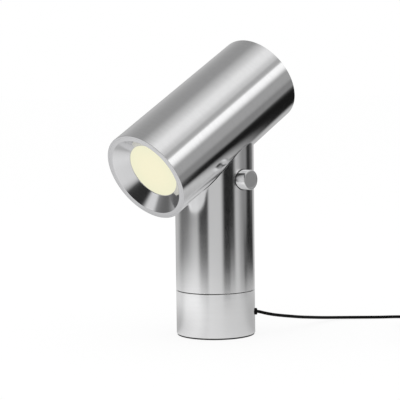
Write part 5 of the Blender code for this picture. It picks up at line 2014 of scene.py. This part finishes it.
@dataclass
class Head:
    """The tilting head: a turned tube with a rear cap, a funnel with a flat rim, and the glowing diffuser."""

    shop: Workshop
    edge: float = 0.0003
    throat_share: float = 0.694
    funnel_depth: float = 0.0117
    funnel_wall: float = 0.0012
    throat_land: float = 0.002
    skirt_wall: float = 0.0015
    skirt_length: float = 0.026
    diffuser_lap: float = 0.0017
    diffuser_thick: float = 0.0025
    cap_thick: float = 0.003
    ear_outer: float = 0.012
    ear_radius: float = 0.005
    slot_clearance: float = 0.0008

    def build(self) -> None:
        """Makes the tube, cap, funnel and diffuser, and dresses what they hold."""
        self._tube()
        self._cap()
        self._funnel()
        self._diffuser()
        self.shop.dress((
            (STEEL, "head_bracket sink_screw_1 sink_screw_2"),
            (WHITE_PLASTIC, "mixing_ring led_board"),
            (PHOSPHOR, "led_array"),
            (SINK_METAL, "heat_sink"),
            (JACKET, "led_lead"),
        ))

    def _tube(self) -> None:
        """The head's tube, with the slot that the neck reaches through."""
        outer, inner = SIZES.head_radius, SIZES.head_radius - SIZES.head_wall
        corners = [
            Corner(outer, SIZES.head_front, self.edge),
            Corner(outer, -SIZES.head_rear, self.edge),
            Corner(inner, -SIZES.head_rear, self.edge / 2),
            Corner(inner, SIZES.head_front),
        ]
        tube = new_object("head_tube", turn_piece(corners))
        back = SIZES.pivot_back
        reach = SIZES.head_radius - SIZES.pivot_drop
        rear = -back - self.ear_radius - self.slot_clearance
        front = -back + reach * math.tan(SIZES.tilt) + self.ear_radius / math.cos(SIZES.tilt) + self.slot_clearance
        half = self.ear_outer + self.slot_clearance
        slot = box((-half, -outer - OVERRUN, rear), (half, -SIZES.pivot_drop, front))
        carve(tube, (slot, None))
        tube.data.transform(SIZES.head_spindle.matrix)
        self.shop.hand_over(tube, HEAD_METAL, Body.HEAD, "aluminium", ("head_shell",))

    def _cap(self) -> None:
        """The flat cap that closes the head's rear."""
        radius = SIZES.head_radius - SIZES.head_wall - GAP
        corners = [
            Corner(0.0, -SIZES.head_rear),
            Corner(radius, -SIZES.head_rear, self.edge),
            Corner(radius, -SIZES.head_rear + self.cap_thick),
            Corner(0.0, -SIZES.head_rear + self.cap_thick),
        ]
        cap = new_object("head_cap", turn_piece(corners, closed=False), SIZES.head_spindle.matrix)
        self.shop.hand_over(cap, CAP_METAL, Body.HEAD, "aluminium", ("rear_cap",))

    @property
    def rim_inner(self) -> float:
        """Inner radius of the flat rim."""
        return SIZES.head_radius - SIZES.rim_width

    @property
    def throat(self) -> float:
        """Radius of the funnel's throat."""
        return self.rim_inner * self.throat_share

    @property
    def funnel_back(self) -> float:
        """Where the funnel's throat ends, along the head."""
        return SIZES.head_front - self.funnel_depth - self.throat_land

    def _funnel(self) -> None:
        """The rim, funnel and skirt in one turned piece."""
        outer = SIZES.head_radius - SIZES.head_wall - GAP / 6
        skirt_back = SIZES.head_front - self.skirt_length
        slope = (self.rim_inner - self.throat) / self.funnel_depth
        cone_back = self.funnel_back + self.funnel_wall
        cone_foot = self.throat + self.funnel_wall
        back_high = SIZES.head_front - self.funnel_wall
        corners = [
            Corner(outer, SIZES.head_front),
            Corner(outer, skirt_back),
            Corner(outer - self.skirt_wall, skirt_back),
            Corner(outer - self.skirt_wall, back_high),
            Corner(cone_foot + (back_high - cone_back) * slope, back_high),
            Corner(cone_foot, cone_back),
            Corner(cone_foot, self.funnel_back),
            Corner(self.throat, self.funnel_back),
            Corner(self.throat, SIZES.head_front - self.funnel_depth, self.edge),
            Corner(self.rim_inner, SIZES.head_front, self.edge),
        ]
        funnel = new_object("rim_funnel", turn_piece(corners), SIZES.head_spindle.matrix)
        self.shop.hand_over(funnel, SHADE_PAINTED_FUNNEL_METAL, Body.HEAD, "polished_reflector", ("reflector",))

    def _diffuser(self) -> None:
        """The opal disc: its lap sits behind the funnel, and its slightly domed middle fills the throat."""
        radius = self.throat + self.diffuser_lap
        middle = self.throat - GAP / 2
        front = self.funnel_back - GAP
        top = self.funnel_back + self.throat_land - GAP / 2
        dome = GAP / 2
        corners = [
            Corner(0.0, top),
            Corner(middle * 0.5, top - dome * 0.25),
            Corner(middle, top - dome, self.edge / 2),
            Corner(middle, front),
            Corner(radius, front),
            Corner(radius, front - self.diffuser_thick, self.edge),
            Corner(0.0, front - self.diffuser_thick),
        ]
        finish = OpalGlow("opal_glow", SIZES.head_spindle, radius)
        disc = new_object("glow_disc", turn_piece(corners, closed=False), SIZES.head_spindle.matrix)
        self.shop.hand_over(disc, finish, Body.HEAD, "opal_diffuser", ("diffuser",))


# ---- The whole scene ----


def main() -> None:
    """Builds the view, the cord, the lamp's sub-assemblies and the studio, in that order."""
    logging.basicConfig(level=logging.INFO, format="%(name)s: %(message)s")
    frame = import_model()
    shop = Workshop(frame, SharedGroups())
    View().build()
    cord = MainsCord(shop)
    cord.build()
    Base(shop, cord).build()
    Stem(shop).build()
    Knob(shop).build()
    Head(shop).build()
    Studio().build()
    for name in sorted(shop.bare):
        LOG.warning("%s has no finish yet", name)
    bpy.context.view_layer.update()


if __name__ == "__main__":
    main()
